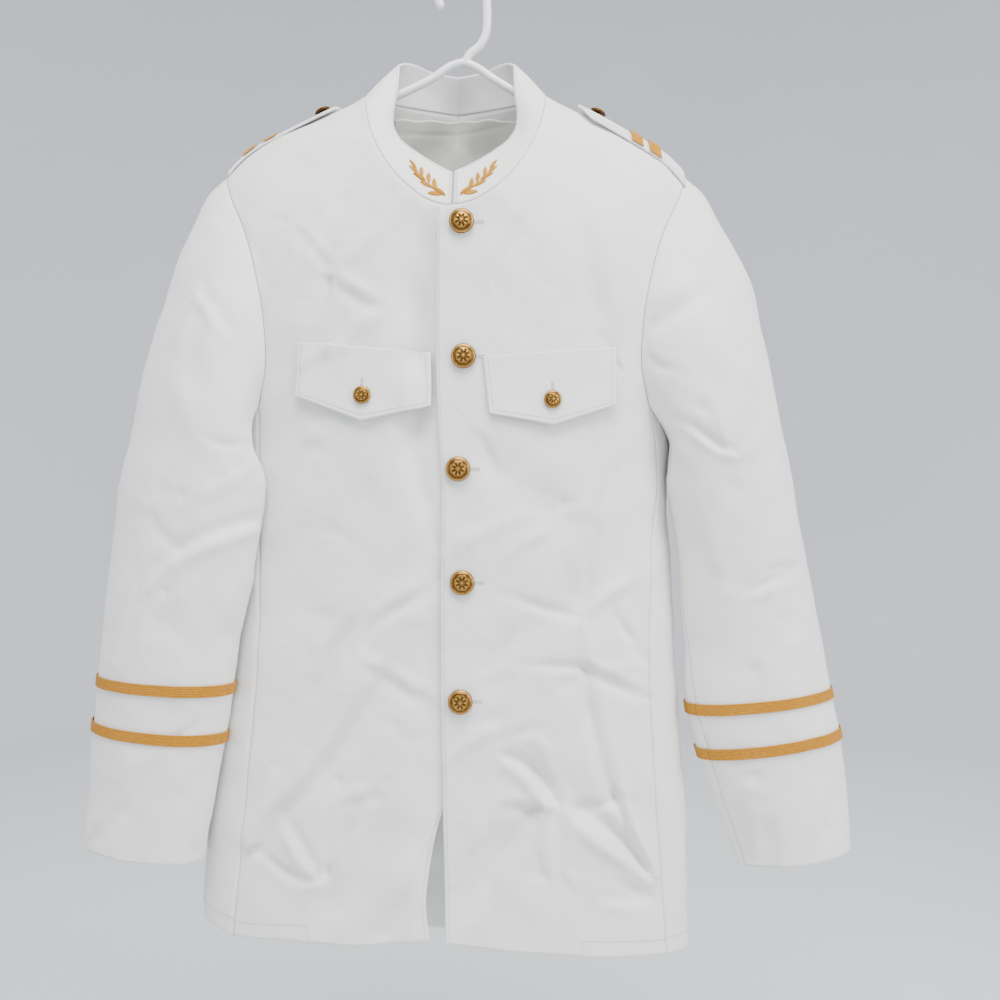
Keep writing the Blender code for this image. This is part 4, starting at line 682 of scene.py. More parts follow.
def back_grid(side, row, u):
    """Middle points of a back half, from the shoulder seam to the hem and from the centre seam outward."""
    inner_z = row_value(np.concatenate([UPPER_ROWS["nape"], below(UPPER_ROWS["nape"][-1],
                                                                  HEM[side][HEM_BACK])]), row)
    inner_x = row_value(np.concatenate([UPPER_ROWS["nape_x"],
                                        np.full(ROWS_BELOW, UPPER_ROWS["nape_x"][-1])]), row)
    start = ARMHOLE["level"][-1]
    arm_z = UPPER_ROWS["armhole"] + (start - UPPER_ROWS["armhole"][-1]) * np.linspace(0, 1, ARMHOLE_ROWS) ** 3
    outer_z = row_value(np.concatenate([arm_z, below(start, HEM[side][HEM_BACK_SEAM])]), row)
    outer_x = np.where(row < ARMHOLE_ROWS - 1, smooth(ARMHOLE["level"], ARMHOLE["back"], outer_z),
                       smooth(BACK_SEAM["level"], BACK_SEAM[side], outer_z))
    x, z = ruled(row, (inner_x, inner_z), (outer_x, outer_z), u)
    return back_point(x, z, side)


def round_point(angle, z, side):
    """Point of the body's oval at an angle from the side line, minus in front and plus behind."""
    width = smooth(BODY["level"], BODY[side], z)
    depth = np.where(angle < 0, smooth(BODY["level"], BODY["front"], z), smooth(BODY["level"], BODY["back"], z))
    power = 2 / SQUARENESS
    x = width * np.cos(angle) ** power
    y = np.sign(angle) * depth * np.abs(np.sin(angle)) ** power
    return np.stack(np.broadcast_arrays(SIGNS[side] * x, y, z), -1)


def side_grid(side, row, first, last, m):
    """Middle points of a side body: the body's oval between the front seam and the back seam."""
    share = (row - (ARMHOLE_ROWS - 1))[:, None]
    m = m[None, :]
    dip = UNDERARM_DIP * np.clip(1 - share / 4, 0, 1) - HEM_SIDE_RISE[side] * ease((share - 5) / (ROWS_BELOW - 5))
    z = first[:, 2:] + (last[:, 2:] - first[:, 2:]) * m - dip * np.sin(math.pi * m)
    angles = []
    for edge, direction in ((first, -1), (last, 1)):
        part = np.clip(np.abs(edge[:, 0]) / smooth(BODY["level"], BODY[side], edge[:, 2]), 0, 1)
        angles.append(direction * np.arccos(part ** (SQUARENESS / 2)))
    angle = angles[0][:, None] + (angles[1] - angles[0])[:, None] * m
    points = round_point(angle, z, side)
    points = points + (first - points[:, 0])[:, None] * (1 - m)[..., None]
    return points + (last - points[:, -1])[:, None] * m[..., None]


def off_body(points, side):
    """Points below the armhole pushed out from the body's oval until they clear it."""
    x, y, z = points[..., 0], points[..., 1], points[..., 2]
    clear = SLEEVE_CLEAR * ease((-428 - z) / 26)
    depth = np.where(y < 0, smooth(BODY["level"], BODY["front"], z), smooth(BODY["level"], BODY["back"], z))
    width = smooth(BODY["level"], BODY[side], z)
    inside = (np.abs(x) / (width + clear)) ** SQUARENESS + (np.abs(y) / (depth + clear)) ** SQUARENESS
    push = np.where((inside < 1) & (z < -428), np.maximum(inside, 0.05) ** (-1 / SQUARENESS), 1)
    return np.stack([x * push, y * push, z], -1)


def sleeve_section(side, angle, level):
    """Points of the sleeve's oval section at an angle from its inner edge (plus in front) and a level."""
    rows = SLEEVES[side]
    value = {name: smooth(rows["level"], rows[name], level) for name in rows if name != "level"}
    middle = np.stack([(value["inner"] + value["outer"]) / 2, (value["inner_y"] + value["outer_y"]) / 2], -1)
    inward = np.stack([(value["inner"] - value["outer"]) / 2, (value["inner_y"] - value["outer_y"]) / 2], -1)
    forward = unit(np.stack([-inward[..., 1], inward[..., 0]], -1)) * value["half"][..., None]
    turned = angle + np.radians(value["twist"])
    plan = middle + inward * np.cos(turned)[..., None] + forward * np.sin(turned)[..., None]
    z = level + np.tan(np.radians(value["tilt"])) * (plan[..., 0] - middle[..., 0])
    return off_body(np.stack([plan[..., 0], plan[..., 1], z], -1), side)


def ring_angles(side, places):
    """Angle on the sleeve's first section of each armhole place, worked out at whole places."""
    whole = np.arange(ARMHOLE_ROWS, dtype=float)
    front = front_grid(side, whole, np.array([0.0, 1.0]))
    back = back_grid(side, whole, np.array([0.0, 1.0]))
    under = side_grid(side, whole[-1:], front[-1:, -1], back[-1:, -1], np.linspace(0, 1, COLUMNS_SIDE + 1))
    ring = np.concatenate([front[:, -1], under[0, 1:-1], back[:0:-1, -1]])
    closed = np.concatenate([ring, ring[:1]])
    length = np.concatenate([[0], np.cumsum(np.linalg.norm(np.diff(closed, axis=0), axis=1))])
    place = np.arange(len(closed))

    def spread(start, end, angle_from, angle_to):
        by_length = (length[start:end + 1] - length[start]) / (length[end] - length[start])
        by_place = (place[start:end + 1] - start) / (end - start)
        return angle_from + (angle_to - angle_from) * (by_length + by_place) / 2

    front_end, back_start = ARMHOLE_ROWS - 1, ARMHOLE_ROWS - 1 + COLUMNS_SIDE
    down = spread(0, front_end, 180, ANGLE_FRONT_SEAM)
    low = np.interp(np.arange(1, COLUMNS_SIDE), (0, COLUMNS_SIDE / 2, COLUMNS_SIDE),
                    (ANGLE_FRONT_SEAM, ANGLE_UNDERARM, ANGLE_BACK_SEAM))
    up = spread(back_start, len(ring), ANGLE_BACK_SEAM, -180)
    return np.radians(smooth(place.astype(float), np.concatenate([down, low, up]), places))


def sleeve_grid(side, ring, out, angle, head_steps, levels):
    """Middle points of a sleeve: a fan of Bezier curves from the armhole, then level sections."""
    first = sleeve_section(side, angle, np.full(len(ring), SLEEVE_TOP))
    second = sleeve_section(side, angle, np.full(len(ring), SLEEVE_TOP - 20))
    chord = first - ring
    length = np.linalg.norm(chord, axis=1, keepdims=True)
    low = ease((-250 - ring[:, 2:]) / 150)
    start = unit(unit(chord) + (0.25 + 0.75 * low) * out + (0.35 - 0.1 * low) * np.array([1, 0, 0]))
    control_a = ring + start * length * (0.4 - 0.05 * low)
    control_b = first + unit(first - second) * length * 0.32
    t = (np.arange(head_steps) / head_steps)[:, None, None]
    head = ((1 - t) ** 3 * ring + 3 * (1 - t) ** 2 * t * control_a
            + 3 * (1 - t) * t ** 2 * control_b + t ** 3 * first)
    head[1:] = off_body(head[1:], side)
    reach = np.clip((head[..., 0] - ring[0, 0] + 10) / 70, 0, 1)
    head[1:, :, 0] -= (smooth(SLIM["level"], SLIM[side], head[..., 2]) * reach)[1:]
    arm = np.stack([sleeve_section(side, angle, np.full(len(ring), level)) for level in levels])
    return np.concatenate([head, arm]) * np.array([SIGNS[side], 1, 1])


def facing(points, core):
    """Unit normals of a grid, turned away from its core."""
    normals = unit(np.cross(np.gradient(points, axis=0), np.gradient(points, axis=1)))
    if ((points - core) * normals).sum() < 0:
        normals = -normals
    return normals


def mitre(one, other):
    """Shared direction across the seam of two walls, long enough to keep their thickness."""
    middle = unit(one + other)
    return middle / np.maximum((middle * one).sum(-1, keepdims=True), 0.5)


def hold_back(rim, inside, stretch=None):
    """Moves a rim's points half a seam gap towards the next points inside."""
    size = SEAM_GAP / 2 * (1 if stretch is None else np.linalg.norm(stretch, axis=-1, keepdims=True))
    rim += unit(inside - rim) * size


def surface_at(points, normals, row, column):
    """Point and normal between the points of a grid, at fractional row and column places."""
    rows, columns = points.shape[:2]
    row, column = np.clip(row, 0, rows - 1), np.clip(column, 0, columns - 1)
    r = np.minimum(row.astype(int), rows - 2)
    c = np.minimum(column.astype(int), columns - 2)
    fr, fc = (row - r)[..., None], (column - c)[..., None]

    def blend(grid):
        return ((1 - fr) * (1 - fc) * grid[r, c] + (1 - fr) * fc * grid[r, c + 1]
                + fr * (1 - fc) * grid[r + 1, c] + fr * fc * grid[r + 1, c + 1])

    return blend(points), unit(blend(normals))


def relief(rows, x, z):
    """Height of the pressed creases at x, z.

    A crease follows a smooth line. Across it the height is (h + 2.33 r d/w) exp(-(d/w)^2), where d is
    the distance to the line's left, w the half width there, h the crease's height and r its roll.
    """
    total = np.zeros(x.shape)
    for height, roll, wide, narrow, start, end, line in rows:
        corner = np.array(line, float)
        length = np.concatenate([[0], np.cumsum(np.hypot(*np.diff(corner, axis=0).T))])
        at = np.linspace(0, length[-1], 6 * len(line))
        path = np.stack([smooth(length, corner[:, 0], at), smooth(length, corner[:, 1], at)], -1)
        reach = 2.5 * max(wide, narrow)
        low, high = path.min(axis=0) - reach, path.max(axis=0) + reach
        near = (x > low[0]) & (x < high[0]) & (z > low[1]) & (z < high[1])
        if not near.any():
            continue
        edge = np.diff(path, axis=0)
        size = (edge ** 2).sum(axis=1)
        dx, dz = x[near][:, None] - path[:-1, 0], z[near][:, None] - path[:-1, 1]
        t = np.clip((dx * edge[:, 0] + dz * edge[:, 1]) / size, 0, 1)
        dx, dz = dx - t * edge[:, 0], dz - t * edge[:, 1]
        away = dx ** 2 + dz ** 2
        best = away.argmin(axis=1)
        pick = np.arange(len(best))
        turn = np.sign(edge[best, 0] * dz[pick, best] - edge[best, 1] * dx[pick, best])
        along = (best + t[pick, best]) / len(edge)
        d = np.sqrt(away[pick, best]) / (wide + (narrow - wide) * along)
        strength = np.where(along < 0.5, start + (1 - start) * ease(2 * along), end + (1 - end) * ease(2 - 2 * along))
        total[near] += CREASE_DEPTH * strength * (height + 2.33 * roll * turn * d) * np.exp(-d ** 2)
    return total


def crumple(x, z, seed):
    """Faint unevenness of worn cotton: crossing sine waves, each bent by another one."""
    rng = np.random.default_rng(seed)
    height = np.zeros(x.shape)
    for wave_length, size in CRUMPLE:
        turn, phase, bend = rng.uniform(0, 2 * math.pi, 3)
        k = 2 * math.pi / wave_length
        across = k * (x * math.cos(turn) + z * math.sin(turn))
        height += size * np.sin(across + phase + 1.3 * np.sin(0.6 * k * (z * math.cos(turn) - x * math.sin(turn)) + bend))
    return height


def creased(points, out, front_rows, back_rows, seed, hold):
    """Moves a cloth grid's points along their normals by its creases, less where hold is small."""
    x, z = points[..., 0], points[..., 2]
    toward = unit(out)[..., 1]
    height = relief(front_rows, x, z) * np.clip(-1.8 * toward, 0, 1)
    height += relief(back_rows, x, z) * np.clip(1.8 * toward, 0, 1)
    return height * hold + crumple(x + 0.7 * points[..., 1], z, seed) * np.minimum(hold * 2, 1)


def to_world(points):
    """Jacket coordinates in millimetres to world metres."""
    return (points + np.array([CENTRE_X, 0, 0])) * MM


def show(name, points, faces, uv, finish, slot, *nodes, smooth_shade=True, sharp=None):
    """A new piece from points in jacket millimetres, riding on the body and standing for CAD nodes."""
    mesh = bpy.data.meshes.new(name)
    mesh.from_pydata(to_world(points).tolist(), [], faces)
    corners = np.zeros(len(mesh.loops), int)
    mesh.loops.foreach_get("vertex_index", corners)
    layer = mesh.uv_layers.new(name="Cloth")
    layer.data.foreach_set("uv", uv[corners].astype(np.float32).ravel())
    if smooth_shade:
        mesh.shade_smooth()
    if sharp:
        mesh.set_sharp_from_angle(angle=math.radians(sharp))
    mesh.materials.append(finish)
    piece = bpy.data.objects.new(name, mesh)
    bpy.context.scene.collection.objects.link(piece)
    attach(piece, "root")
    if nodes:
        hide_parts(*nodes)
    return piece


def grid_faces(rows, columns, start=0, wrap=False):
    """Quads of a grid of points, row by row, as an array of corner numbers."""
    index = start + np.arange(rows * columns).reshape(rows, columns)
    if wrap:
        index = np.concatenate([index, index[:, :1]], axis=1)
    return np.stack([index[:-1, :-1], index[1:, :-1], index[1:, 1:], index[:-1, 1:]], -1).reshape(-1, 4)


def flat_places(middle):
    """Distances along the columns and rows of a grid, in millimetres, as its pattern places."""
    across = np.linalg.norm(np.diff(middle, axis=1), axis=-1)
    down = np.linalg.norm(np.diff(middle, axis=0), axis=-1)
    u = np.concatenate([np.zeros((len(middle), 1)), np.cumsum(across, axis=1)], axis=1)
    v = np.concatenate([np.zeros((1, middle.shape[1])), np.cumsum(down, axis=0)])
    return np.stack([u, v], -1)


def shell(middle, out, thickness, raised=0.0):
    """Points, faces and places of a closed wall round a grid, with a rounded rim.

    The outer face is middle + out (t/2 + raised) and the inner one middle - out t/2. Both stop short
    of the rim by a fifth of the thickness, and a ring at the rim's middle joins them.
    """
    rows, columns = middle.shape[:2]
    soft = middle.copy()
    back = thickness * 0.2
    soft[0] += unit(middle[1] - middle[0]) * back
    soft[-1] += unit(middle[-2] - middle[-1]) * back
    soft[:, 0] += unit(middle[:, 1] - middle[:, 0]) * back
    soft[:, -1] += unit(middle[:, -2] - middle[:, -1]) * back
    lift = np.broadcast_to(np.asarray(raised, float), (rows, columns))[..., None]
    outer, inner = soft + out * (thickness / 2 + lift), soft - out * thickness / 2
    index = np.arange(rows * columns).reshape(rows, columns)
    rim = np.concatenate([index[0, :-1], index[:-1, -1], index[-1, :0:-1], index[:0:-1, 0]])
    count, ring = rows * columns, len(rim)
    edge = middle.reshape(-1, 3)[rim]
    points = np.concatenate([outer.reshape(-1, 3), inner.reshape(-1, 3), edge])
    cells = grid_faces(rows, columns)
    following = np.roll(rim, -1)
    ring_index = 2 * count + np.arange(ring)
    ring_next = np.roll(ring_index, -1)
    faces = np.concatenate([cells, cells[:, ::-1] + count,
                            np.stack([rim, following, ring_next, ring_index], -1),
                            np.stack([ring_index, ring_next, following + count, rim + count], -1)])
    first = points[cells]
    normals = np.cross(first[:, 2] - first[:, 0], first[:, 3] - first[:, 1])
    if (normals * out.reshape(-1, 3)[cells[:, 0]]).sum() < 0:
        faces = faces[:, ::-1]
    places = flat_places(middle).reshape(-1, 2)
    return points, faces, np.concatenate([places, places, places[rim]])


def joined(parts):
    """One set of points, faces and places from several."""
    points, faces, places, count = [], [], [], 0
    for part_points, part_faces, part_places in parts:
        points.append(part_points)
        faces += [[corner + count for corner in face] for face in part_faces] \
            if isinstance(part_faces, list) else (part_faces + count).tolist()
        places.append(part_places)
        count += len(part_points)
    return np.concatenate(points), faces, np.concatenate(places)


def cloth_piece(name, middle, out, thickness, finish, slot, node, raised=0.0):
    """A wall of cloth shown in place of its CAD node."""
    points, faces, places = shell(middle, out, thickness, raised)
    piece = show(name, points, faces.tolist(), places, finish, slot, node)
    return piece


def cast(part, side, x, z):
    """Outer points and normals of a laid panel at jacket x, z, found by rays along Y."""
    points, out = laid[part + "_" + side]
    tree = trees.get(part + side)
    if tree is None:
        cells = grid_faces(*points.shape[:2])
        tree = trees[part + side] = BVHTree.FromPolygons((points + out * CLOTH / 2).reshape(-1, 3).tolist(),
                                                         cells.tolist())
    toward = 1.0 if part == "back" else -1.0
    hits = [tree.ray_cast(Vector((a, 0, b)), Vector((0, toward, 0)))[:2] for a, b in zip(np.ravel(x), np.ravel(z))]
    places = np.array([tuple(hit[0]) for hit in hits if hit[0] is not None])
    normals = np.array([tuple(hit[1] * (1 if hit[1].y * toward > 0 else -1)) for hit in hits if hit[0] is not None])
    return places, normals


def stitches(path, normals, pitch, radius, fill=0.72, sink=0.1):
    """A row of thread stitches along a path: each is a capsule bowed a little out of the cloth.

    Its middle line is the path between two needle holes plus n sin(pi s), its radius r sqrt(sin(pi s)).
    """
    length = np.concatenate([[0], np.cumsum(np.linalg.norm(np.diff(path, axis=0), axis=1))])
    count = max(1, int(length[-1] / pitch))
    middle = (np.arange(count) + 0.5) * length[-1] / count
    s = np.linspace(0, 1, 5)
    at = middle[:, None] + (s[None] - 0.5) * fill * length[-1] / count
    centre = np.stack([np.interp(at, length, path[:, k]) for k in range(3)], -1)
    up = unit(np.stack([np.interp(at, length, normals[:, k]) for k in range(3)], -1))
    along = unit(np.gradient(centre, axis=1))
    across = np.cross(along, up)
    bow = np.sin(math.pi * s)
    centre = centre + up * ((bow - 1) * radius * 0.7 + radius * (1 - 2 * sink))[None, :, None]
    turn = np.linspace(0, 2 * math.pi, 5)[:-1] + math.pi / 4
    size = radius * np.sqrt(np.maximum(bow, 0.12))
    points = (centre[:, :, None] + (across[:, :, None] * np.cos(turn)[:, None] + up[:, :, None] * np.sin(turn)[:, None])
              * size[None, :, None, None])
    cells = grid_faces(5, 4, wrap=True)
    caps = np.array([[0, 1, 2, 3], [19, 18, 17, 16]])
    one = np.concatenate([cells, caps])
    faces = (one[None] + 20 * np.arange(count)[:, None, None]).reshape(-1, 4)
    flat = points.reshape(-1, 3)
    return flat, faces, np.repeat(np.stack([at, 0 * at], -1)[:, :, None], 4, axis=2).reshape(-1, 2)


def turned(radii, heights, count, seat, normal, detail=None):
    """A solid of rings about an axis, closed by a point at both ends, stood on its seat.

    radii and heights have a row for each ring and one value or one per angle.
    """
    rings = len(radii)
    angle = np.linspace(0, 2 * math.pi, count, endpoint=False)
    radii = np.broadcast_to(np.reshape(radii, (rings, -1)), (rings, count))
    heights = np.broadcast_to(np.reshape(heights, (rings, -1)), (rings, count))
    normal = unit(np.asarray(normal, float))
    side = unit(np.cross(normal, np.array([0, 0, 1.0])))
    up = np.cross(side, normal)
    points = (seat + radii[..., None] * (np.cos(angle)[:, None] * side + np.sin(angle)[:, None] * up)
              + heights[..., None] * normal).reshape(-1, 3)
    first = seat + heights[0].mean() * normal
    last = seat + heights[-1].mean() * normal
    points = np.concatenate([points, [first], [last]])
    body = grid_faces(rings, count, wrap=True)[:, ::-1].tolist()
    near = np.arange(count)
    top, bottom = rings * count, rings * count + 1
    body += np.stack([near, np.roll(near, -1), np.full(count, top)], -1)[:, ::-1].tolist()
    low = near + (rings - 1) * count
    body += np.stack([np.roll(low, -1), low, np.full(count, bottom)], -1)[:, ::-1].tolist()
    detail = np.zeros((rings, count)) if detail is None else detail
    places = np.stack([radii, detail], -1).reshape(-1, 2)
    return points, body, np.concatenate([places, [[0, 1], [0, 0]]])


def node(tree, kind, **inputs):
    """A shader node with some of its inputs or settings filled in."""
    made = tree.nodes.new(kind)
    for name, value in inputs.items():
        if name in made.inputs:
            made.inputs[name].default_value = value
        else:
            setattr(made, name, value)
    return made


def finish(name, rough, metal=0.0, sheen=0.0, coat=0.0):
    """An empty finish: its material, node tree and Principled shader, with plain values on the sockets."""
    made = bpy.data.materials.new(name)
    made.use_nodes = True
    shader = made.node_tree.nodes["Principled BSDF"]
    shader.inputs["Roughness"].default_value = rough
    shader.inputs["Metallic"].default_value = metal
    shader.inputs["Sheen Weight"].default_value = sheen
    shader.inputs["Coat Weight"].default_value = coat
    return made, made.node_tree, shader


def ramp(tree, source, dark, light, low=0.3, high=0.7):
    """Colours from dark to light as the source goes from low to high."""
    made = tree.nodes.new("ShaderNodeValToRGB")
    made.color_ramp.elements[0].position = low
    made.color_ramp.elements[0].color = (*dark, 1)
    made.color_ramp.elements[1].position = high
    made.color_ramp.elements[1].color = (*light, 1)
    tree.links.new(source, made.inputs["Fac"])
    return made.outputs["Color"]


def bumped(tree, shader, *layers):
    """Bump layers one on the other, each of a height, a depth in metres and a strength."""
    last = None
    for height, depth, strength in layers:
        made = node(tree, "ShaderNodeBump", Distance=depth, Strength=strength)
        tree.links.new(height, made.inputs["Height"])
        if last:
            tree.links.new(last.outputs["Normal"], made.inputs["Normal"])
        last = made
    tree.links.new(last.outputs["Normal"], shader.inputs["Normal"])


def places(tree, size):
    """The piece's own pattern places, in millimetres times a size."""
    source = tree.nodes.new("ShaderNodeUVMap")
    source.uv_map = "Cloth"
    sized = tree.nodes.new("ShaderNodeMapping")
    sized.inputs["Scale"].default_value = (size[0], size[1], 1)
    tree.links.new(source.outputs["UV"], sized.inputs["Vector"])
    return sized.outputs["Vector"]


def pattern(tree, kind, vector, **inputs):
    made = node(tree, kind, **inputs)
    tree.links.new(vector, made.inputs["Vector"])
    return made


def twill(name, dark, light, rough, pitch=0.8):
    """White cotton twill: fine slanting ribs crossed by weft, with slubs and faint cloudiness."""
    made, tree, shader = finish(name, rough, sheen=0.25)
    ribs = pattern(tree, "ShaderNodeTexWave", places(tree, (0.314 / pitch, 0.314 / pitch)), wave_type="BANDS",
                   bands_direction="DIAGONAL", Distortion=0.6, Detail=1.0)
    slubs = pattern(tree, "ShaderNodeTexNoise", places(tree, (0.5, 2.2)), Scale=0.9, Detail=3.0)
    cloud = pattern(tree, "ShaderNodeTexNoise", places(tree, (1, 1)), Scale=0.022, Detail=4.0, Roughness=0.55)
    soft = pattern(tree, "ShaderNodeTexNoise", places(tree, (1, 1)), Scale=0.09, Detail=3.0)
    tree.links.new(ramp(tree, cloud.outputs["Fac"], dark, light), shader.inputs["Base Color"])
    bumped(tree, shader, (soft.outputs["Fac"], 0.0012, 0.35), (slubs.outputs["Fac"], 0.0002, 0.25),
           (ribs.outputs["Fac"], 0.00012, 0.3))
    return made


def gold_braid():
    """Gold lace: metallic thread bumped across each rib, its colour varied between duller brown and gold by grain
    noise.
    """
    made, tree, shader = finish("gold_braid", 0.5, metal=0.15)
    thread = pattern(tree, "ShaderNodeTexWave", places(tree, (0.314 / 0.55, 0.05)), wave_type="BANDS",
                     bands_direction="X", Distortion=1.2, Detail=2.0)
    grain = pattern(tree, "ShaderNodeTexNoise", places(tree, (1.0, 0.35)), Scale=0.8, Detail=5.0)
    tree.links.new(ramp(tree, grain.outputs["Fac"], (0.40, 0.16, 0.001), (0.60, 0.27, 0.002)),
                   shader.inputs["Base Color"])
    bumped(tree, shader, (grain.outputs["Fac"], 0.0002, 0.3), (thread.outputs["Fac"], 0.0002, 0.5))
    return made


def gold_embroidery():
    """Gold thread in satin stitch, its strands running across each leaf."""
    made, tree, shader = finish("gold_embroidery", 0.5, metal=0.15)
    strand = pattern(tree, "ShaderNodeTexWave", places(tree, (0.314 / 0.5, 0.02)), wave_type="BANDS",
                     bands_direction="X", Distortion=0.8, Detail=1.0)
    grain = pattern(tree, "ShaderNodeTexNoise", places(tree, (1, 1)), Scale=0.6, Detail=4.0)
    tree.links.new(ramp(tree, grain.outputs["Fac"], (0.42, 0.17, 0.001), (0.64, 0.30, 0.003)),
                   shader.inputs["Base Color"])
    bumped(tree, shader, (strand.outputs["Fac"], 0.0003, 0.6))
    return made


def brass_painted_hollow_shade():
    """Dress button brass with painted shade: dark brown where the relief is low, in the hollows, and gold on what
    stands proud, mottled by random spots.
    """
    made, tree, shader = finish("brass_painted_hollow_shade", 0.33, metal=1.0)
    source = tree.nodes.new("ShaderNodeUVMap")
    source.uv_map = "Cloth"
    split = tree.nodes.new("ShaderNodeSeparateXYZ")
    tree.links.new(source.outputs["UV"], split.inputs["Vector"])
    place = tree.nodes.new("ShaderNodeTexCoord").outputs["Object"]
    spots = pattern(tree, "ShaderNodeTexNoise", place, Scale=420.0, Detail=5.0, Roughness=0.6)
    # Painted shade: the relief height (the places' second coordinate) plus random spots runs the colour ramp, so the
    # hollows come out dark brown
    hollow_shade_and_spots = node(tree, "ShaderNodeMath", operation="MULTIPLY_ADD")
    tree.links.new(spots.outputs["Fac"], hollow_shade_and_spots.inputs[0])
    hollow_shade_and_spots.inputs[1].default_value = 0.5
    tree.links.new(split.outputs["Y"], hollow_shade_and_spots.inputs[2])
    tree.links.new(ramp(tree, hollow_shade_and_spots.outputs[0], (0.10, 0.045, 0.012), (0.72, 0.42, 0.11), 0.35, 0.95),
                   shader.inputs["Base Color"])
    bumped(tree, shader, (spots.outputs["Fac"], 0.0002, 0.3))
    return made


def gloss_plastic():
    """Moulded white plastic with a faint orange-peel surface and faint cloudiness in its colour."""
    made, tree, shader = finish("gloss_plastic", 0.2, coat=0.3)
    place = tree.nodes.new("ShaderNodeTexCoord").outputs["Object"]
    peel = pattern(tree, "ShaderNodeTexNoise", place, Scale=260.0, Detail=2.0)
    cloud = pattern(tree, "ShaderNodeTexNoise", place, Scale=30.0, Detail=3.0)
    tree.links.new(ramp(tree, cloud.outputs["Fac"], (0.78, 0.79, 0.79), (0.86, 0.86, 0.86)),
                   shader.inputs["Base Color"])
    bumped(tree, shader, (peel.outputs["Fac"], 0.0002, 0.25))
    return made


def sewing_thread(name, dark, light):
    """Twisted sewing thread with painted shade: greyer than the white cloth, and darker in diagonal bands where the
    strands wind round each stitch.
    """
    made, tree, shader = finish(name, 0.7, sheen=0.2)
    ply_and_groove_shade = pattern(tree, "ShaderNodeTexWave", places(tree, (1.2, 0.4)), wave_type="BANDS",
                  bands_direction="DIAGONAL", Scale=1.0, Distortion=0.5)
    tree.links.new(ramp(tree, ply_and_groove_shade.outputs["Fac"], dark, light), shader.inputs["Base Color"])
    bumped(tree, shader, (ply_and_groove_shade.outputs["Fac"], 0.0001, 0.4))
    return made


def studio_paper():
    """Matt backdrop paper with a faint tooth."""
    made, tree, shader = finish("studio_paper", 0.9)
    place = tree.nodes.new("ShaderNodeTexCoord").outputs["Object"]
    tooth = pattern(tree, "ShaderNodeTexNoise", place, Scale=900.0, Detail=3.0)
    cloud = pattern(tree, "ShaderNodeTexNoise", place, Scale=1.5, Detail=2.0)
    colour = bpy.context.scene.jacket_studio.paper
    tree.links.new(ramp(tree, cloud.outputs["Fac"], tuple(0.97 * c for c in colour), tuple(colour)),
                   shader.inputs["Base Color"])
    bumped(tree, shader, (tooth.outputs["Fac"], 0.0002, 0.15))
    return made


def kept(make, *values):
    """The finish that make gives for these values, made once."""
    key = (make.__name__,) + values
    if key not in finishes:
        finishes[key] = make(*values)
    return finishes[key]


def white_cloth():
    cloth = bpy.context.scene.jacket_cloth
    light = tuple(round(c, 4) for c in cloth.colour)
    return kept(twill, "white_twill", tuple(round(c * 0.955, 4) for c in light), light, 0.82)


def white_thread_painted_shade():
    # Painted shade: the white thread is coloured mid grey, darker than the cloth, for the shade along the stitch lines
    return kept(sewing_thread, "white_thread_painted_shade", (0.38, 0.38, 0.36), (0.58, 0.58, 0.56))


finishes, laid, trees, facts = {}, {}, {}, {}


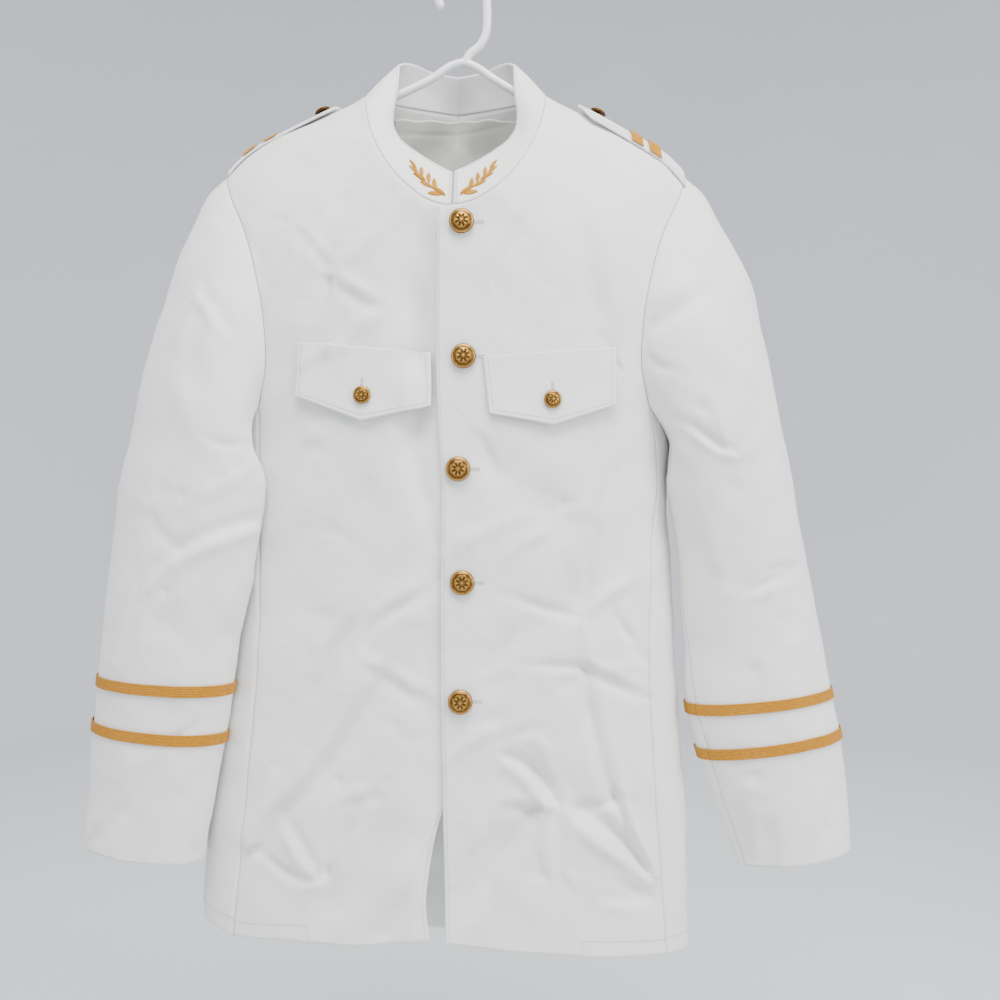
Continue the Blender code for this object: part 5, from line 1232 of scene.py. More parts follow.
def lay_cloth():
    """Middle points and normals of every body panel and sleeve, creased, with shared seams.

    Neighbours share their seam points and mitre direction. The creases fade at the neck, shoulder and
    armhole seams, so that both sides of a seam stay together.
    """
    step = bpy.context.scene.jacket_cloth.grid / MM
    levels = np.concatenate([UPPER_ROWS["armhole"], below(UPPER_ROWS["armhole"][-1], HEM["left"][HEM_FRONT_SEAM])])
    row = fine_rows(levels, step)
    arm = int(np.searchsorted(row, ARMHOLE_ROWS - 1))
    u, m = np.linspace(0, 1, FRONT_COLUMNS + 1), np.linspace(0, 1, SIDE_COLUMNS + 1)
    v = np.linspace(0, 1, BACK_COLUMNS + 1)
    facts.update(row=row, arm=arm, neck=int(np.searchsorted(row, NECK_ROWS - 1)),
                 nape=int(np.searchsorted(row, NAPE_ROWS - 1)), first_edge=int(np.searchsorted(row, NECK_ROWS)))
    core = np.array([0, 0, -500.0])
    for side, sign in SIGNS.items():
        front, back = front_grid(side, row, u), back_grid(side, row, v)
        flank = side_grid(side, row[arm:], front[arm:, -1], back[arm:, -1], m)
        out_front, out_back, out_flank = facing(front, core), facing(back, core), facing(flank, core)
        crest = unit(np.array([sign * SHOULDER_SLOPE, 0, 1.0]))
        out_front[0] = crest
        out_back[0] = crest
        for out_panel, column in ((out_front, 0), (out_back, -1)):
            joint = mitre(out_panel[arm:, -1], out_flank[:, column])
            out_panel[arm:, -1] = joint
            out_flank[:, column] = joint
        mirror = np.array([sign, 1, 1])
        ring = np.concatenate([front[:arm + 1, -1], flank[0, 1:-1], back[arm:0:-1, -1]]) * mirror
        ring_out = np.concatenate([out_front[:arm + 1, -1], out_flank[0, 1:-1], out_back[arm:0:-1, -1]]) * mirror
        last = ARMHOLE_ROWS - 1
        ring_place = np.concatenate([row[:arm + 1], last + COLUMNS_SIDE * m[1:-1],
                                     2 * last + COLUMNS_SIDE - row[arm:0:-1]])
        angle = ring_angles(side, ring_place)
        levels = np.linspace(SLEEVE_TOP, SLEEVE_END[side], int((SLEEVE_TOP - SLEEVE_END[side]) / step) + 1)
        sleeve = sleeve_grid(side, ring, unit(ring_out), angle, HEAD_STEPS, levels)
        closed = np.concatenate([sleeve[:, -1:], sleeve, sleeve[:, :1]], axis=1)
        out_sleeve = facing(closed, sleeve.mean(axis=1, keepdims=True))[:, 1:-1]
        joint = mitre(unit(ring_out) * mirror, out_sleeve[0])
        out_sleeve[0] = joint
        out_front[:arm + 1, -1] = joint[:arm + 1]
        out_flank[0, :] = joint[arm:arm + SIDE_COLUMNS + 1]
        out_back[0, -1] = joint[0]
        out_back[arm:0:-1, -1] = joint[arm + SIDE_COLUMNS:]
        upper = np.clip(1 - (row - row[arm]) / 1.0, 0, 1)[:, None]
        width = np.linalg.norm(front[:, -1] - front[:, 0], axis=1)[:, None]
        hold = ease(row[:, None] / 2) * (1 - upper * (1 - ease((1 - u) * width / 14)))
        hold = hold * np.where(row[:, None] <= NECK_ROWS - 1, ease(u * width / 12), 1)
        hold_back_panel = ease(row[:, None] / 2) * (1 - upper * (1 - ease((1 - v) * width / 14)))
        hold_back_panel = hold_back_panel * np.where(row[:, None] <= NAPE_ROWS - 1, ease(v * width / 12), 1)
        hold_flank = ease((row[arm:, None] - row[arm]) / 0.4 + 0 * m)
        raise_front = creased(front, out_front, FRONT_CREASES, (), 7, hold)
        across = sign * np.abs(front[..., 0])
        if side == "left":
            raise_front = np.maximum(raise_front, -0.5 - 25 * ease((across - 24) / 18))
        else:
            raise_front = np.minimum(raise_front, 0.4 + 25 * ease((-16 - across) / 14))
        raise_back = creased(back, out_back, (), BACK_CREASES, 8, hold_back_panel)
        raise_flank = creased(flank, out_flank, FRONT_CREASES, BACK_CREASES, 9, hold_flank)
        raise_flank[:, 0] = raise_front[arm:, -1]
        raise_flank[:, 1] = (raise_flank[:, 0] + raise_flank[:, 2]) / 2
        raise_flank[:, -1] = raise_back[arm:, -1]
        raise_flank[:, -2] = (raise_flank[:, -1] + raise_flank[:, -3]) / 2
        steps = np.arange(len(sleeve))[:, None]
        hold_sleeve = ease(steps / 7) * np.ones(len(ring))
        raise_sleeve = creased(sleeve, out_sleeve, SLEEVE_CREASES, SLEEVE_BACK_CREASES, 11, hold_sleeve)
        raise_sleeve = raise_sleeve + ROPE_HEIGHT * np.exp(-((steps - 4) / 3.0) ** 2) * ease(
            (sleeve[0, :, 2] + 400) / 130) * ease(steps / 3)
        for name, points, out, lift in (("front", front, out_front, raise_front), ("back", back, out_back, raise_back),
                                        ("side", flank, out_flank, raise_flank),
                                        ("sleeve", sleeve, out_sleeve, raise_sleeve)):
            laid[name + "_" + side] = (points + unit(out) * lift[..., None], out)
        facts["angle_" + side] = angle
        facts["sleeve_raise_" + side] = (levels, raise_sleeve[HEAD_STEPS:])


def sleeve_columns():
    """Places round the armhole that belong to a sleeve's top and under part."""
    row, arm = facts["row"], facts["arm"]
    last = ARMHOLE_ROWS - 1
    m = np.linspace(0, 1, SIDE_COLUMNS + 1)
    place = np.concatenate([row[:arm + 1], last + COLUMNS_SIDE * m[1:-1], 2 * last + COLUMNS_SIDE - row[arm:0:-1]])
    front_seam = int(np.argmin(np.abs(place - TOP_SEAM)))
    back_seam = int(np.argmin(np.abs(place - BACK_SEAM_PLACE)))
    top = np.concatenate([np.arange(front_seam, -1, -1), np.arange(len(place) - 1, back_seam - 1, -1)])
    return {"top": top, "under": np.arange(front_seam, back_seam + 1)}


class JACKET_OT_body(bpy.types.Operator):
    """Cuts and sews both fronts, both side bodies and both back halves"""

    bl_idname = "jacket.body"
    bl_label = "Fronts, sides and backs"

    def execute(self, context):
        if not laid:
            lay_cloth()
        arm, neck, nape = facts["arm"], facts["neck"], facts["nape"]
        for side in SIGNS:
            for part, columns in (("front", neck), ("back", None), ("side", None)):
                middle, out = (grid.copy() for grid in laid[part + "_" + side])
                if part == "side":
                    hold_back(middle[0], middle[1], out[0])
                    hold_back(middle[:, 0], middle[:, 1])
                else:
                    hold_back(middle[0], middle[1])
                    inner = slice(0, columns + 1) if columns else slice(None)
                    hold_back(middle[inner, 0], middle[inner, 1], out[inner, 0])
                hold_back(middle[:, -1], middle[:, -2], out[:, -1])
                name = part + "_" + side
                cloth_piece("cloth_" + name, middle, out, CLOTH, white_cloth(), "cloth", name)
        return {"FINISHED"}


class JACKET_OT_sleeves(bpy.types.Operator):
    """Sets in both two-piece sleeves, with a little fullness at the sleeve head"""

    bl_idname = "jacket.sleeves"
    bl_label = "Sleeves"

    def execute(self, context):
        for side in SIGNS:
            middle, out = laid["sleeve_" + side]
            for part, columns in sleeve_columns().items():
                points, normals = middle[:, columns].copy(), out[:, columns].copy()
                hold_back(points[0], points[1], normals[0])
                hold_back(points[:, 0], points[:, 1])
                hold_back(points[:, -1], points[:, -2])
                name = "sleeve_%s_%s" % (side, part)
                cloth_piece("cloth_" + name, points, normals, CLOTH, white_cloth(), "cloth", name)
        return {"FINISHED"}


def collar_quarter(side, part, edge_table, rows):
    """Base points, base normals and top points of a quarter of the collar, from the shoulder on."""
    grid, out = laid[part + "_" + side]
    base, base_out = grid[:rows + 1, 0], out[:rows + 1, 0]
    length = np.concatenate([[0], np.cumsum(np.linalg.norm(np.diff(base, axis=0), axis=1))])
    share = length / length[-1]
    edge = np.stack([SIGNS[side] * smooth(edge_table["share"], edge_table["x"], share),
                     smooth(edge_table["share"], edge_table["y"], share),
                     smooth(edge_table["share"], edge_table["z"], share)], -1)
    if side == "right" and part == "front":
        edge[:, 1] += LAP_DEPTH * ease((share - 0.8) / 0.2)
    return base, base_out, edge


def lay_collar():
    """The stand collar's grid: columns from the right front round the back to the left front."""
    neck, nape = facts["neck"], facts["nape"]
    quarters = [collar_quarter("right", "front", COLLAR_FRONT, neck), collar_quarter("right", "back", COLLAR_BACK, nape),
                collar_quarter("left", "back", COLLAR_BACK, nape), collar_quarter("left", "front", COLLAR_FRONT, neck)]
    order = (slice(None, None, -1), slice(1, None), slice(-2, None, -1), slice(1, None))
    base, base_out, edge = (np.concatenate([quarter[k][cut] for quarter, cut in zip(quarters, order)])
                            for k in range(3))
    v = np.linspace(0, 1, COLLAR_STEPS + 1)[:, None, None]
    points = base * (1 - v) + edge * v
    out = facing(points, np.array([0, 0, -150.0]))
    wave = crumple(3 * np.arange(points.shape[1])[None, :] + 0 * points[..., 0], points[..., 2], 15)
    points = points + out * (COLLAR_BULGE + 0.5 * wave[..., None]) * np.sin(math.pi * v)
    out[0] = mitre(base_out, out[0])
    laid["collar"] = (points, out)


def collar_at(side, reach, height):
    """Point and normal on the collar, at distances from its front end and up from the neck seam."""
    points, out = laid["collar"]
    middle = points[len(points) // 2]
    if side == "left":
        middle = middle[::-1]
    length = np.concatenate([[0], np.cumsum(np.linalg.norm(np.diff(middle, axis=0), axis=1))])
    column = np.interp(reach, length, np.arange(len(length)))
    if side == "left":
        column = len(length) - 1 - column
    tall = np.linalg.norm(np.diff(points, axis=0), axis=-1).sum(axis=0)
    row = height / np.interp(column, np.arange(len(tall)), tall) * COLLAR_STEPS
    return surface_at(points, out, row, column)


class JACKET_OT_collar(bpy.types.Operator):
    """Stand collar, and the lining that shows inside the back of the neck"""

    bl_idname = "jacket.collar"
    bl_label = "Collar and neck lining"

    def execute(self, context):
        lay_collar()
        points, out = (grid.copy() for grid in laid["collar"])
        hold_back(points[0], points[1], out[0])
        cloth_piece("cloth_collar", points, out, COLLAR_CLOTH, white_cloth(), "cloth", "collar")
        u = np.linspace(-1, 1, 71)[None, :]
        v = np.linspace(0, 1, 61)[:, None]
        x = u * (64 + 22 * v)
        top = LINING_TOP - 8 * np.abs(u) ** 3 + LINING_WAVE * np.sin(9 * u + 1.0) * np.cos(4 * u)
        z = top + (LINING_END - LINING_TOP + 8 * np.abs(u) ** 3) * v
        middle = back_point(np.abs(x), z, "left") * np.stack([np.sign(x + 1e-9), np.ones_like(x), np.ones_like(x)], -1)
        normals = facing(middle, np.array([0, -60.0, -200.0]))
        ripple = LINING_RIPPLE * np.sin(5.5 * u + 3 * v) * np.sin(9 * v + 2 * u)
        seams = (np.exp(-(x / 1.6) ** 2) + np.exp(-((z + 134 - 5 * u) / 1.6) ** 2)
                 + np.exp(-((z + 168 - 6 * u) / 1.6) ** 2) * (u > 0))
        depth = LINING_DEPTH + 0.6 + ripple - 0.5 * np.minimum(seams, 1)
        lining = kept(twill, "neck_lining", (0.66, 0.66, 0.63), (0.74, 0.74, 0.71), 0.7, 0.5)
        cloth_piece("cloth_neck_lining", middle - normals * depth[..., None], normals, LINING_CLOTH, lining, "lining",
                    "neck_lining")
        return {"FINISHED"}


def lay_flap(side):
    """Middle points and normals of a pocket flap: the front's surface moved out, more towards its point."""
    rows = FLAPS[side]
    (x0, x1, x2, x3, x4), (z0, z1, z2, z3, z4) = rows["x"], rows["z"]
    u = np.linspace(0, 1, 61)[None, :]
    v = np.linspace(0, 1, 33)[:, None]
    point = (x3 - x4) / (x2 - x4)
    low_x = x4 + (x2 - x4) * u
    low_z = np.where(u < point, z4 + (z3 - z4) * u / point, z3 + (z2 - z3) * (u - point) / (1 - point))
    x = (x0 + (x1 - x0) * u) * (1 - v) + low_x * v
    z = (z0 + (z1 - z0) * u) * (1 - v) + low_z * v
    sign = SIGNS[side]
    flat = front_point(x, z, side, folded=False)
    height = relief(FRONT_CREASES, sign * x, z)
    beside = [front_point(x + shift, z, side)[..., 1] - relief(FRONT_CREASES, sign * (x + shift), z)
              for shift in (-FLAP_REACH, 0, FLAP_REACH)]
    middle = front_point(x, z, side)
    middle[..., 1] = np.min(beside, axis=0)
    middle[..., 1] += (np.minimum(middle[..., 1], flat[..., 1]) - middle[..., 1]) * ease(1.5 * v)
    middle[..., 1] += 0.5 * height * ease(2 * v)
    out = facing(middle, np.array([0, 0, -400.0]))
    lift = CLOTH + FLAP_OFF + FLAP_LIFT * v ** 2 + 0.35 + 0.5 * crumple(x, z, 21) * v
    laid["flap_" + side] = (middle + out * lift[..., None], out)


class JACKET_OT_flaps(bpy.types.Operator):
    """Pointed flaps over the breast pockets"""

    bl_idname = "jacket.flaps"
    bl_label = "Pocket flaps"

    def execute(self, context):
        for side in SIGNS:
            lay_flap(side)
            middle, out = laid["flap_" + side]
            cloth_piece("cloth_flap_" + side, middle, out, CLOTH, white_cloth(), "cloth", "flap_" + side)
        return {"FINISHED"}


def over_shoulder(x, arc, side, lift):
    """Points over the shoulder at a distance along the cloth from the ridge, minus in front."""
    drop = np.linspace(0, 1, 200) ** 2 * 70
    depth = {}
    for part, reach in (("front", FRONT_REACH), ("back", BACK_REACH)):
        level = ridge(x) - drop
        y = smooth(BODY["level"], BODY[part], level) * fullness(drop, reach) * oval(x, level, side)
        length = np.concatenate([np.zeros((len(x), 1)), np.cumsum(np.hypot(np.diff(y), np.diff(drop)[None]), axis=1)],
                                axis=1)
        depth[part] = [np.stack([np.interp(np.abs(arc[k]), length[k], line) for k, line in enumerate(values)])
                       for values in (y, np.broadcast_to(drop, y.shape))]
    front = arc < 0
    y = np.where(front, -depth["front"][0], depth["back"][0])
    z = ridge(x) - np.where(front, depth["front"][1], depth["back"][1])
    points = np.stack([np.broadcast_to(SIGNS[side] * x, y.shape), y, z], -1)
    out = facing(points, np.array([SIGNS[side] * 170, 0, -240.0]))
    return points + out * lift[..., None], out


def lay_strap(side):
    """Middle points and normals of a shoulder strap, pointed at its neck end."""
    along = np.concatenate([np.linspace(0, 0.86, 44), 0.86 + 0.14 * ease(np.arange(1, 13) / 12) ** 0.9])[:, None]
    across = np.linspace(-1, 1, 25)[None, :]
    x = STRAP_OUTER + (STRAP_INNER[side] - STRAP_OUTER) * along
    half = STRAP_HALF * np.clip(1.0 - ((along - 0.86) / 0.14).clip(0, 1) ** 1.6 * 0.86, 0, 1)
    lift = CLOTH / 2 + STRAP_CLEAR + STRAP_CLOTH / 2 + STRAP_LIFT[side] * ease((along - 0.35) / 0.65)
    points, out = over_shoulder(x, across * half - STRAP_FORWARD[side], side, lift + 0 * across)
    laid["strap_" + side] = (points, out, along[:, 0], across[0])


def strap_at(side, x, across):
    """Point and normal on a strap's middle surface at a side coordinate and a share across."""
    points, out, along, share = laid["strap_" + side]
    place = (x - STRAP_OUTER) / (STRAP_INNER[side] - STRAP_OUTER)
    row = np.interp(place, along, np.arange(len(along)))
    column = np.interp(across, share, np.arange(len(share)))
    return surface_at(points, out, row + 0 * column, column + 0 * row)


def ribbed(count, samples):
    """Shares across a braid and the height of its ribs there: a row of half circles."""
    s = np.linspace(0, 1, count * samples + 1)
    return s, BRAID_RIB * (np.sqrt(np.clip(1 - (2 * ((s * count) % 1) - 1) ** 2, 0, 1)) - 1)


class JACKET_OT_straps(bpy.types.Operator):
    """Shoulder straps with two gold braids across each"""

    bl_idname = "jacket.straps"
    bl_label = "Shoulder straps"

    def execute(self, context):
        for side in SIGNS:
            lay_strap(side)
            middle, out = laid["strap_" + side][:2]
            cloth_piece("cloth_strap_" + side, middle, out, STRAP_CLOTH, white_cloth(), "cloth", "epaulette_" + side)
            share, height = ribbed(8, 5)
            for name, centre in zip(("inner", "outer"), STRAP_BRAIDS[side]):
                half = STRAP_BRAID_WIDTH / 2 * math.cos(math.atan(SHOULDER_SLOPE))
                x = (centre + half - 2 * half * share)[:, None]
                points, normals = strap_at(side, x, np.linspace(-1, 1, 41)[None, :])
                points = points + normals * (STRAP_CLOTH / 2 + BRAID_CLEAR + BRAID_CLOTH / 2)
                faces = shell(points, normals, BRAID_CLOTH, height[:, None])
                show("gold_shoulder_braid_%s_%s" % (side, name), faces[0], faces[1].tolist(), faces[2],
                     kept(gold_braid), "braid", "shoulder_braid_%s_%s" % (side, name), sharp=60)
        return {"FINISHED"}


class JACKET_OT_braids(bpy.types.Operator):
    """Two rows of ribbed gold braid round each sleeve, cut at the sleeve seams"""

    bl_idname = "jacket.braids"
    bl_label = "Sleeve braids"

    def execute(self, context):
        share, height = ribbed(7, 5)
        for side in SIGNS:
            angle = facts["angle_" + side]
            levels, raised = facts["sleeve_raise_" + side]
            for row_name, centre in zip(("upper", "lower"), SLEEVE_BRAIDS[side]):
                level = (centre + BRAID_WIDTH * (0.5 - share))[:, None]
                angles, level = np.broadcast_arrays(angle[None, :], level)
                whole = sleeve_section(side, angles, level) * np.array([SIGNS[side], 1, 1])
                closed = np.concatenate([whole[:, -1:], whole, whole[:, :1]], axis=1)
                out = facing(closed, whole.mean(axis=1, keepdims=True))[:, 1:-1]
                at = np.interp(-centre, -levels, np.arange(len(levels)))
                low = np.maximum(raised[int(at) - 2:int(at) + 4].max(axis=0), -0.4)
                whole = whole + out * (CLOTH / 2 + BRAID_CLEAR + BRAID_CLOTH / 2 + low)[None, :, None]
                for part, columns in sleeve_columns().items():
                    points, normals = whole[:, columns].copy(), out[:, columns]
                    hold_back(points[:, 0], points[:, 1])
                    hold_back(points[:, -1], points[:, -2])
                    faces = shell(points, normals, BRAID_CLOTH, height[:, None])
                    name = "braid_%s_%s_%s" % (side, part, row_name)
                    show("gold_" + name, faces[0], faces[1].tolist(), faces[2][:, ::-1] * 1.0, kept(gold_braid),
                         "braid", name, sharp=60)
        return {"FINISHED"}


def button_face(share, angle):
    """Height of a button's relief, in radii: a rope rim, a ring and an eight-petalled rosette."""
    rope = np.exp(-((share - 0.9) / 0.055) ** 2) * (0.75 + 0.25 * np.sin(26 * angle + 55 * (share - 0.9)))
    ring = 0.45 * np.exp(-((share - 0.76) / 0.025) ** 2)
    petal = np.cos(4 * angle) ** 2 * np.exp(-((share - 0.44) / 0.15) ** 2)
    leaf = 0.55 * np.sin(4 * angle) ** 2 * np.exp(-((share - 0.58) / 0.07) ** 2)
    boss = 0.9 * np.exp(-(share / 0.13) ** 2) + 0.35 * np.exp(-((share - 0.2) / 0.03) ** 2)
    return rope + ring + 0.8 * petal + leaf + boss


def button(name, node_name, seat, normal, radius):
    """Domed brass button: dome height plus relief on a fan of rings, and a plain back with its shank."""
    share = np.concatenate([np.linspace(0.02, 0.98, 34), [1.0, 1.005]])
    angle = np.linspace(0, 2 * math.pi, 96, endpoint=False)[None, :]
    dome = 0.62 * radius * smooth(np.array([0, 0.45, 0.8, 1.0]), np.array([1, 0.95, 0.78, 0.5]), share)
    face = button_face(share[:, None], angle)
    top = dome[:, None] + 0.055 * radius * (face - 0.4) * ease((1 - share[:, None]) / 0.04)
    back_radius = radius * np.array([0.99, 0.92, 0.5, 0.17, 0.16, 0.02])
    back_height = radius * np.array([0.2, 0.15, 0.14, 0.14, 0.0, 0.0])
    top[-1] = 0.26 * radius
    radii = np.concatenate([radius * share, back_radius])
    heights = np.concatenate([top, back_height[:, None] + np.zeros((6, angle.size))])
    # The relief height goes into the places, where the brass finish paints shade in the hollows from it
    detail = np.concatenate([face / 1.3, np.zeros((6, angle.size))])
    points, faces, uv = turned(radii[:, None] + np.zeros((1, angle.size)), heights, angle.size, seat, normal, detail)
    show(name, points, faces, uv, kept(brass_painted_hollow_shade), "button", node_name, sharp=70)


class JACKET_OT_buttons(bpy.types.Operator):
    """Brass dress buttons on the front, the pocket flaps and the shoulder straps"""

    bl_idname = "jacket.buttons"
    bl_label = "Buttons"

    def execute(self, context):
        toward = np.array([0, -1.0, 0.0])
        for number, (x, z) in enumerate(zip(FRONT_BUTTONS["x"], FRONT_BUTTONS["z"]), 1):
            places, _ = cast("front", "left", np.array([x]), np.array([z]))
            button("brass_button_%d" % number, "button_%d" % number, places[0] + toward * 0.5, toward, BUTTON_RADIUS)
        for side, (x, z) in POCKET_BUTTONS.items():
            middle, out = laid["flap_" + side]
            flat, normals = middle.reshape(-1, 3), out.reshape(-1, 3)
            nearest = np.argmin(np.hypot(flat[:, 0] - SIGNS[side] * x, flat[:, 2] - z))
            button("brass_pocket_button_" + side, "pocket_button_" + side,
                   flat[nearest] + normals[nearest] * (CLOTH / 2 + 0.4), normals[nearest], SMALL_BUTTON_RADIUS)
            seat, normal = strap_at(side, np.array([STRAP_BUTTON[side]]), np.array([STRAP_FORWARD[side] / STRAP_HALF]))
            button("brass_shoulder_button_" + side, "shoulder_button_" + side,
                   seat[0] + normal[0] * (STRAP_CLOTH / 2 + SEAM_GAP), normal[0], SMALL_BUTTON_RADIUS)
        return {"FINISHED"}


def leaf(side, root, turn, length, width):
    """A leaf in satin stitch on the collar.

    At shares s along and t across, it lies s L on along its bent middle line and t w(s) beside it, with
    w(s) = W sin(pi s)^0.75, and stands H sqrt(1 - t^2) proud with a groove along the middle.
    """
    s = np.linspace(0.01, 0.99, 30)[:, None]
    t = np.linspace(-1, 1, 15)[None, :]
    bend = turn + 0.35 * (s - 0.5) * np.sign(turn - LEAF_BEND)
    half = width * np.sin(math.pi * s) ** 0.75
    reach = root[0] + length * s * np.cos(bend) - t * half * np.sin(bend)
    height = root[1] + length * s * np.sin(bend) + t * half * np.cos(bend)
    places, normals = collar_at(side, reach, height)
    proud = SPRIG_HEIGHT * np.sqrt(np.clip(1 - t ** 2, 0, 1)) * np.sin(math.pi * s) ** 0.3
    proud = proud * (1 - 0.5 * np.exp(-(t / 0.13) ** 2)) * (1 + 0.12 * np.sin(s * length / 0.55 * math.pi + 3 * np.abs(t)))
    base = places + normals * (COLLAR_CLOTH / 2 + 0.25)
    points, faces, uv = shell(base, normals, 0.5, proud)
    stitch = np.stack([length * s + 1.5 * np.abs(t), half * t + 0 * s], -1).reshape(-1, 2)
    uv[:len(stitch)] = stitch
    return points, faces, uv


class JACKET_OT_sprigs(bpy.types.Operator):
    """Gold embroidered leaf sprigs, a plain design of our own, on both collar ends"""

    bl_idname = "jacket.sprigs"
    bl_label = "Collar embroidery"

    def execute(self, context):
        for side in SIGNS:
            parts = [leaf(side, (root_a, root_b), math.radians(turn), length, width)
                     for root_a, root_b, turn, length, width in zip(*[SPRIG[name] for name in
                                                                      ("reach", "height", "turn", "length", "width")])]
            points, faces, uv = joined(parts)
            show("gold_sprig_" + side, points, faces, uv, kept(gold_embroidery), "embroidery", "sprig_" + side)
        return {"FINISHED"}


def line_on(part, side, corners, count=80):
    """A path on a laid panel's outer face through corners in jacket x and z."""
    corner = np.array(corners, float)
    length = np.concatenate([[0], np.cumsum(np.hypot(*np.diff(corner, axis=0).T))])
    at = np.linspace(0, length[-1], count)
    return cast(part, side, np.interp(at, length, corner[:, 0]), np.interp(at, length, corner[:, 1]))


def edge_row(name, rows, columns, thickness):
    """A path along a grid's outer face at fractional rows and columns."""
    points, out = laid[name][:2]
    places, normals = surface_at(points, out, rows, columns)
    return places + normals * thickness / 2, normals


class JACKET_OT_sewing(bpy.types.Operator):
    """Edge stitching on placket, collar, flaps, straps and hems, and the worked buttonholes"""

    bl_idname = "jacket.sewing"
    bl_label = "Stitching and buttonholes"

    def execute(self, context):
        sewing = context.scene.jacket_sewing
        pitch, thread = sewing.pitch / MM, sewing.thread / 2 / MM
        rows = {name: [] for name in ("placket", "collar", "hem", "flaps", "straps", "buttonholes")}
        start = facts["first_edge"]
        for side in SIGNS:
            points, out = laid["front_" + side]
            width = np.linalg.norm(points[:, -1] - points[:, 0], axis=1)
            along = np.arange(start + 4, len(points) - 1, dtype=float)
            inset = 3.6 / width[start + 4:-1] * FRONT_COLUMNS
            rows["placket"].append(edge_row("front_" + side, along, inset, CLOTH))
            tall = np.linalg.norm(points[-8] - points[-1], axis=1).mean() / 7
            facing_end = FACING_END[side] / width[-1] * FRONT_COLUMNS
            last = len(points) - 1
            narrow = np.linspace(inset[-1], facing_end, 60)
            rows["hem"].append(edge_row("front_" + side, np.full(60, last - 2.6 / tall), narrow, CLOTH))
            wide = np.linspace(facing_end, FRONT_COLUMNS, 50)
            rows["hem"].append(edge_row("front_" + side, np.full(50, last - HEM_TURN / tall), wide, CLOTH))
            rise = np.linspace(last - HEM_TURN / tall, last - 2.6 / tall, 10)
            rows["hem"].append(edge_row("front_" + side, rise, np.full(10, facing_end), CLOTH))
            for part, columns in (("side", SIDE_COLUMNS), ("back", BACK_COLUMNS)):
                grid = laid[part + "_" + side][0]
                tall = np.linalg.norm(grid[-8] - grid[-1], axis=1).mean() / 7
                place = np.linspace(0, columns, 70)
                rows["hem"].append(edge_row(part + "_" + side, np.full(70, len(grid) - 1 - HEM_TURN / tall), place,
                                            CLOTH))
        points, out = laid["collar"]
        tall = np.linalg.norm(np.diff(points, axis=0), axis=-1).sum(axis=0)
        columns = np.arange(2, points.shape[1] - 2, dtype=float)
        drop = COLLAR_STEPS * (1 - 3.2 / tall[2:-2])
        rows["collar"].append(edge_row("collar", drop, columns, COLLAR_CLOTH))
        for side, end in (("right", 0), ("left", points.shape[1] - 1)):
            inward = 1 if end == 0 else -1
            pace = np.linalg.norm(points[COLLAR_STEPS // 2, end + inward] - points[COLLAR_STEPS // 2, end])
            place = np.full(20, end + inward * 3.0 / pace)
            rows["collar"].append(edge_row("collar", np.linspace(0.4, COLLAR_STEPS - 1.2, 20), place, COLLAR_CLOTH))
        for side in SIGNS:
            middle = laid["flap_" + side][0]
            deep, wide = middle.shape[0] - 1, middle.shape[1] - 1
            fall = np.linalg.norm(np.diff(middle, axis=0), axis=-1).sum(axis=0).mean() / deep
            across = np.linalg.norm(np.diff(middle, axis=1), axis=-1).sum(axis=1).mean() / wide
            a, b = FLAP_STITCH / fall, FLAP_STITCH / across
            row_path = np.concatenate([np.linspace(0.3, deep - a, 20), np.full(60, deep - a),
                                       np.linspace(deep - a, 0.3, 20)])
            column_path = np.concatenate([np.full(20, b), np.linspace(b, wide - b, 60), np.full(20, wide - b)])
            rows["flaps"].append(edge_row("flap_" + side, row_path, column_path, CLOTH))
            points, out, along, share = laid["strap_" + side]
            n = len(along) - 1
            edge_path = np.concatenate([np.linspace(0.5, n - 2.0, 60), np.linspace(n - 2.0, 0.5, 60)])
            cross = np.concatenate([np.full(60, 2.2), np.full(60, len(share) - 3.2)])
            rows["straps"].append(edge_row("strap_" + side, edge_path, cross, STRAP_CLOTH))
        for x, z in zip(FRONT_BUTTONS["x"], FRONT_BUTTONS["z"]):
            for shift in (-0.9, 0.9):
                rows["buttonholes"].append(line_on("front", "left", ((x - 4, z + shift), (x + BUTTONHOLE, z + shift)), 12))
        for side, (x, z) in POCKET_BUTTONS.items():
            middle, out = laid["flap_" + side]
            for shift in (-0.7, 0.7):
                level = np.linspace(z + 17, z - 3, 12)
                rowed = np.interp(-level, -middle[:, middle.shape[1] // 2, 2], np.arange(len(middle)))
                place = np.interp(SIGNS[side] * (SIGNS[side] * x + shift), SIGNS[side] * middle[len(middle) // 2, :, 0],
                                  np.arange(middle.shape[1]))
                rows["buttonholes"].append(edge_row("flap_" + side, rowed, np.full(12, place), CLOTH))
        for name, paths in rows.items():
            fine = 0.8 if name == "buttonholes" else pitch
            size = 0.42 if name == "buttonholes" else thread
            parts = [stitches(path, normals, fine, size, 0.9 if name == "buttonholes" else 0.72)
                     for path, normals in paths]
            points, faces, uv = joined(parts)
            show("thread_" + name, points, faces, uv, white_thread_painted_shade(), "cloth")
        return {"FINISHED"}


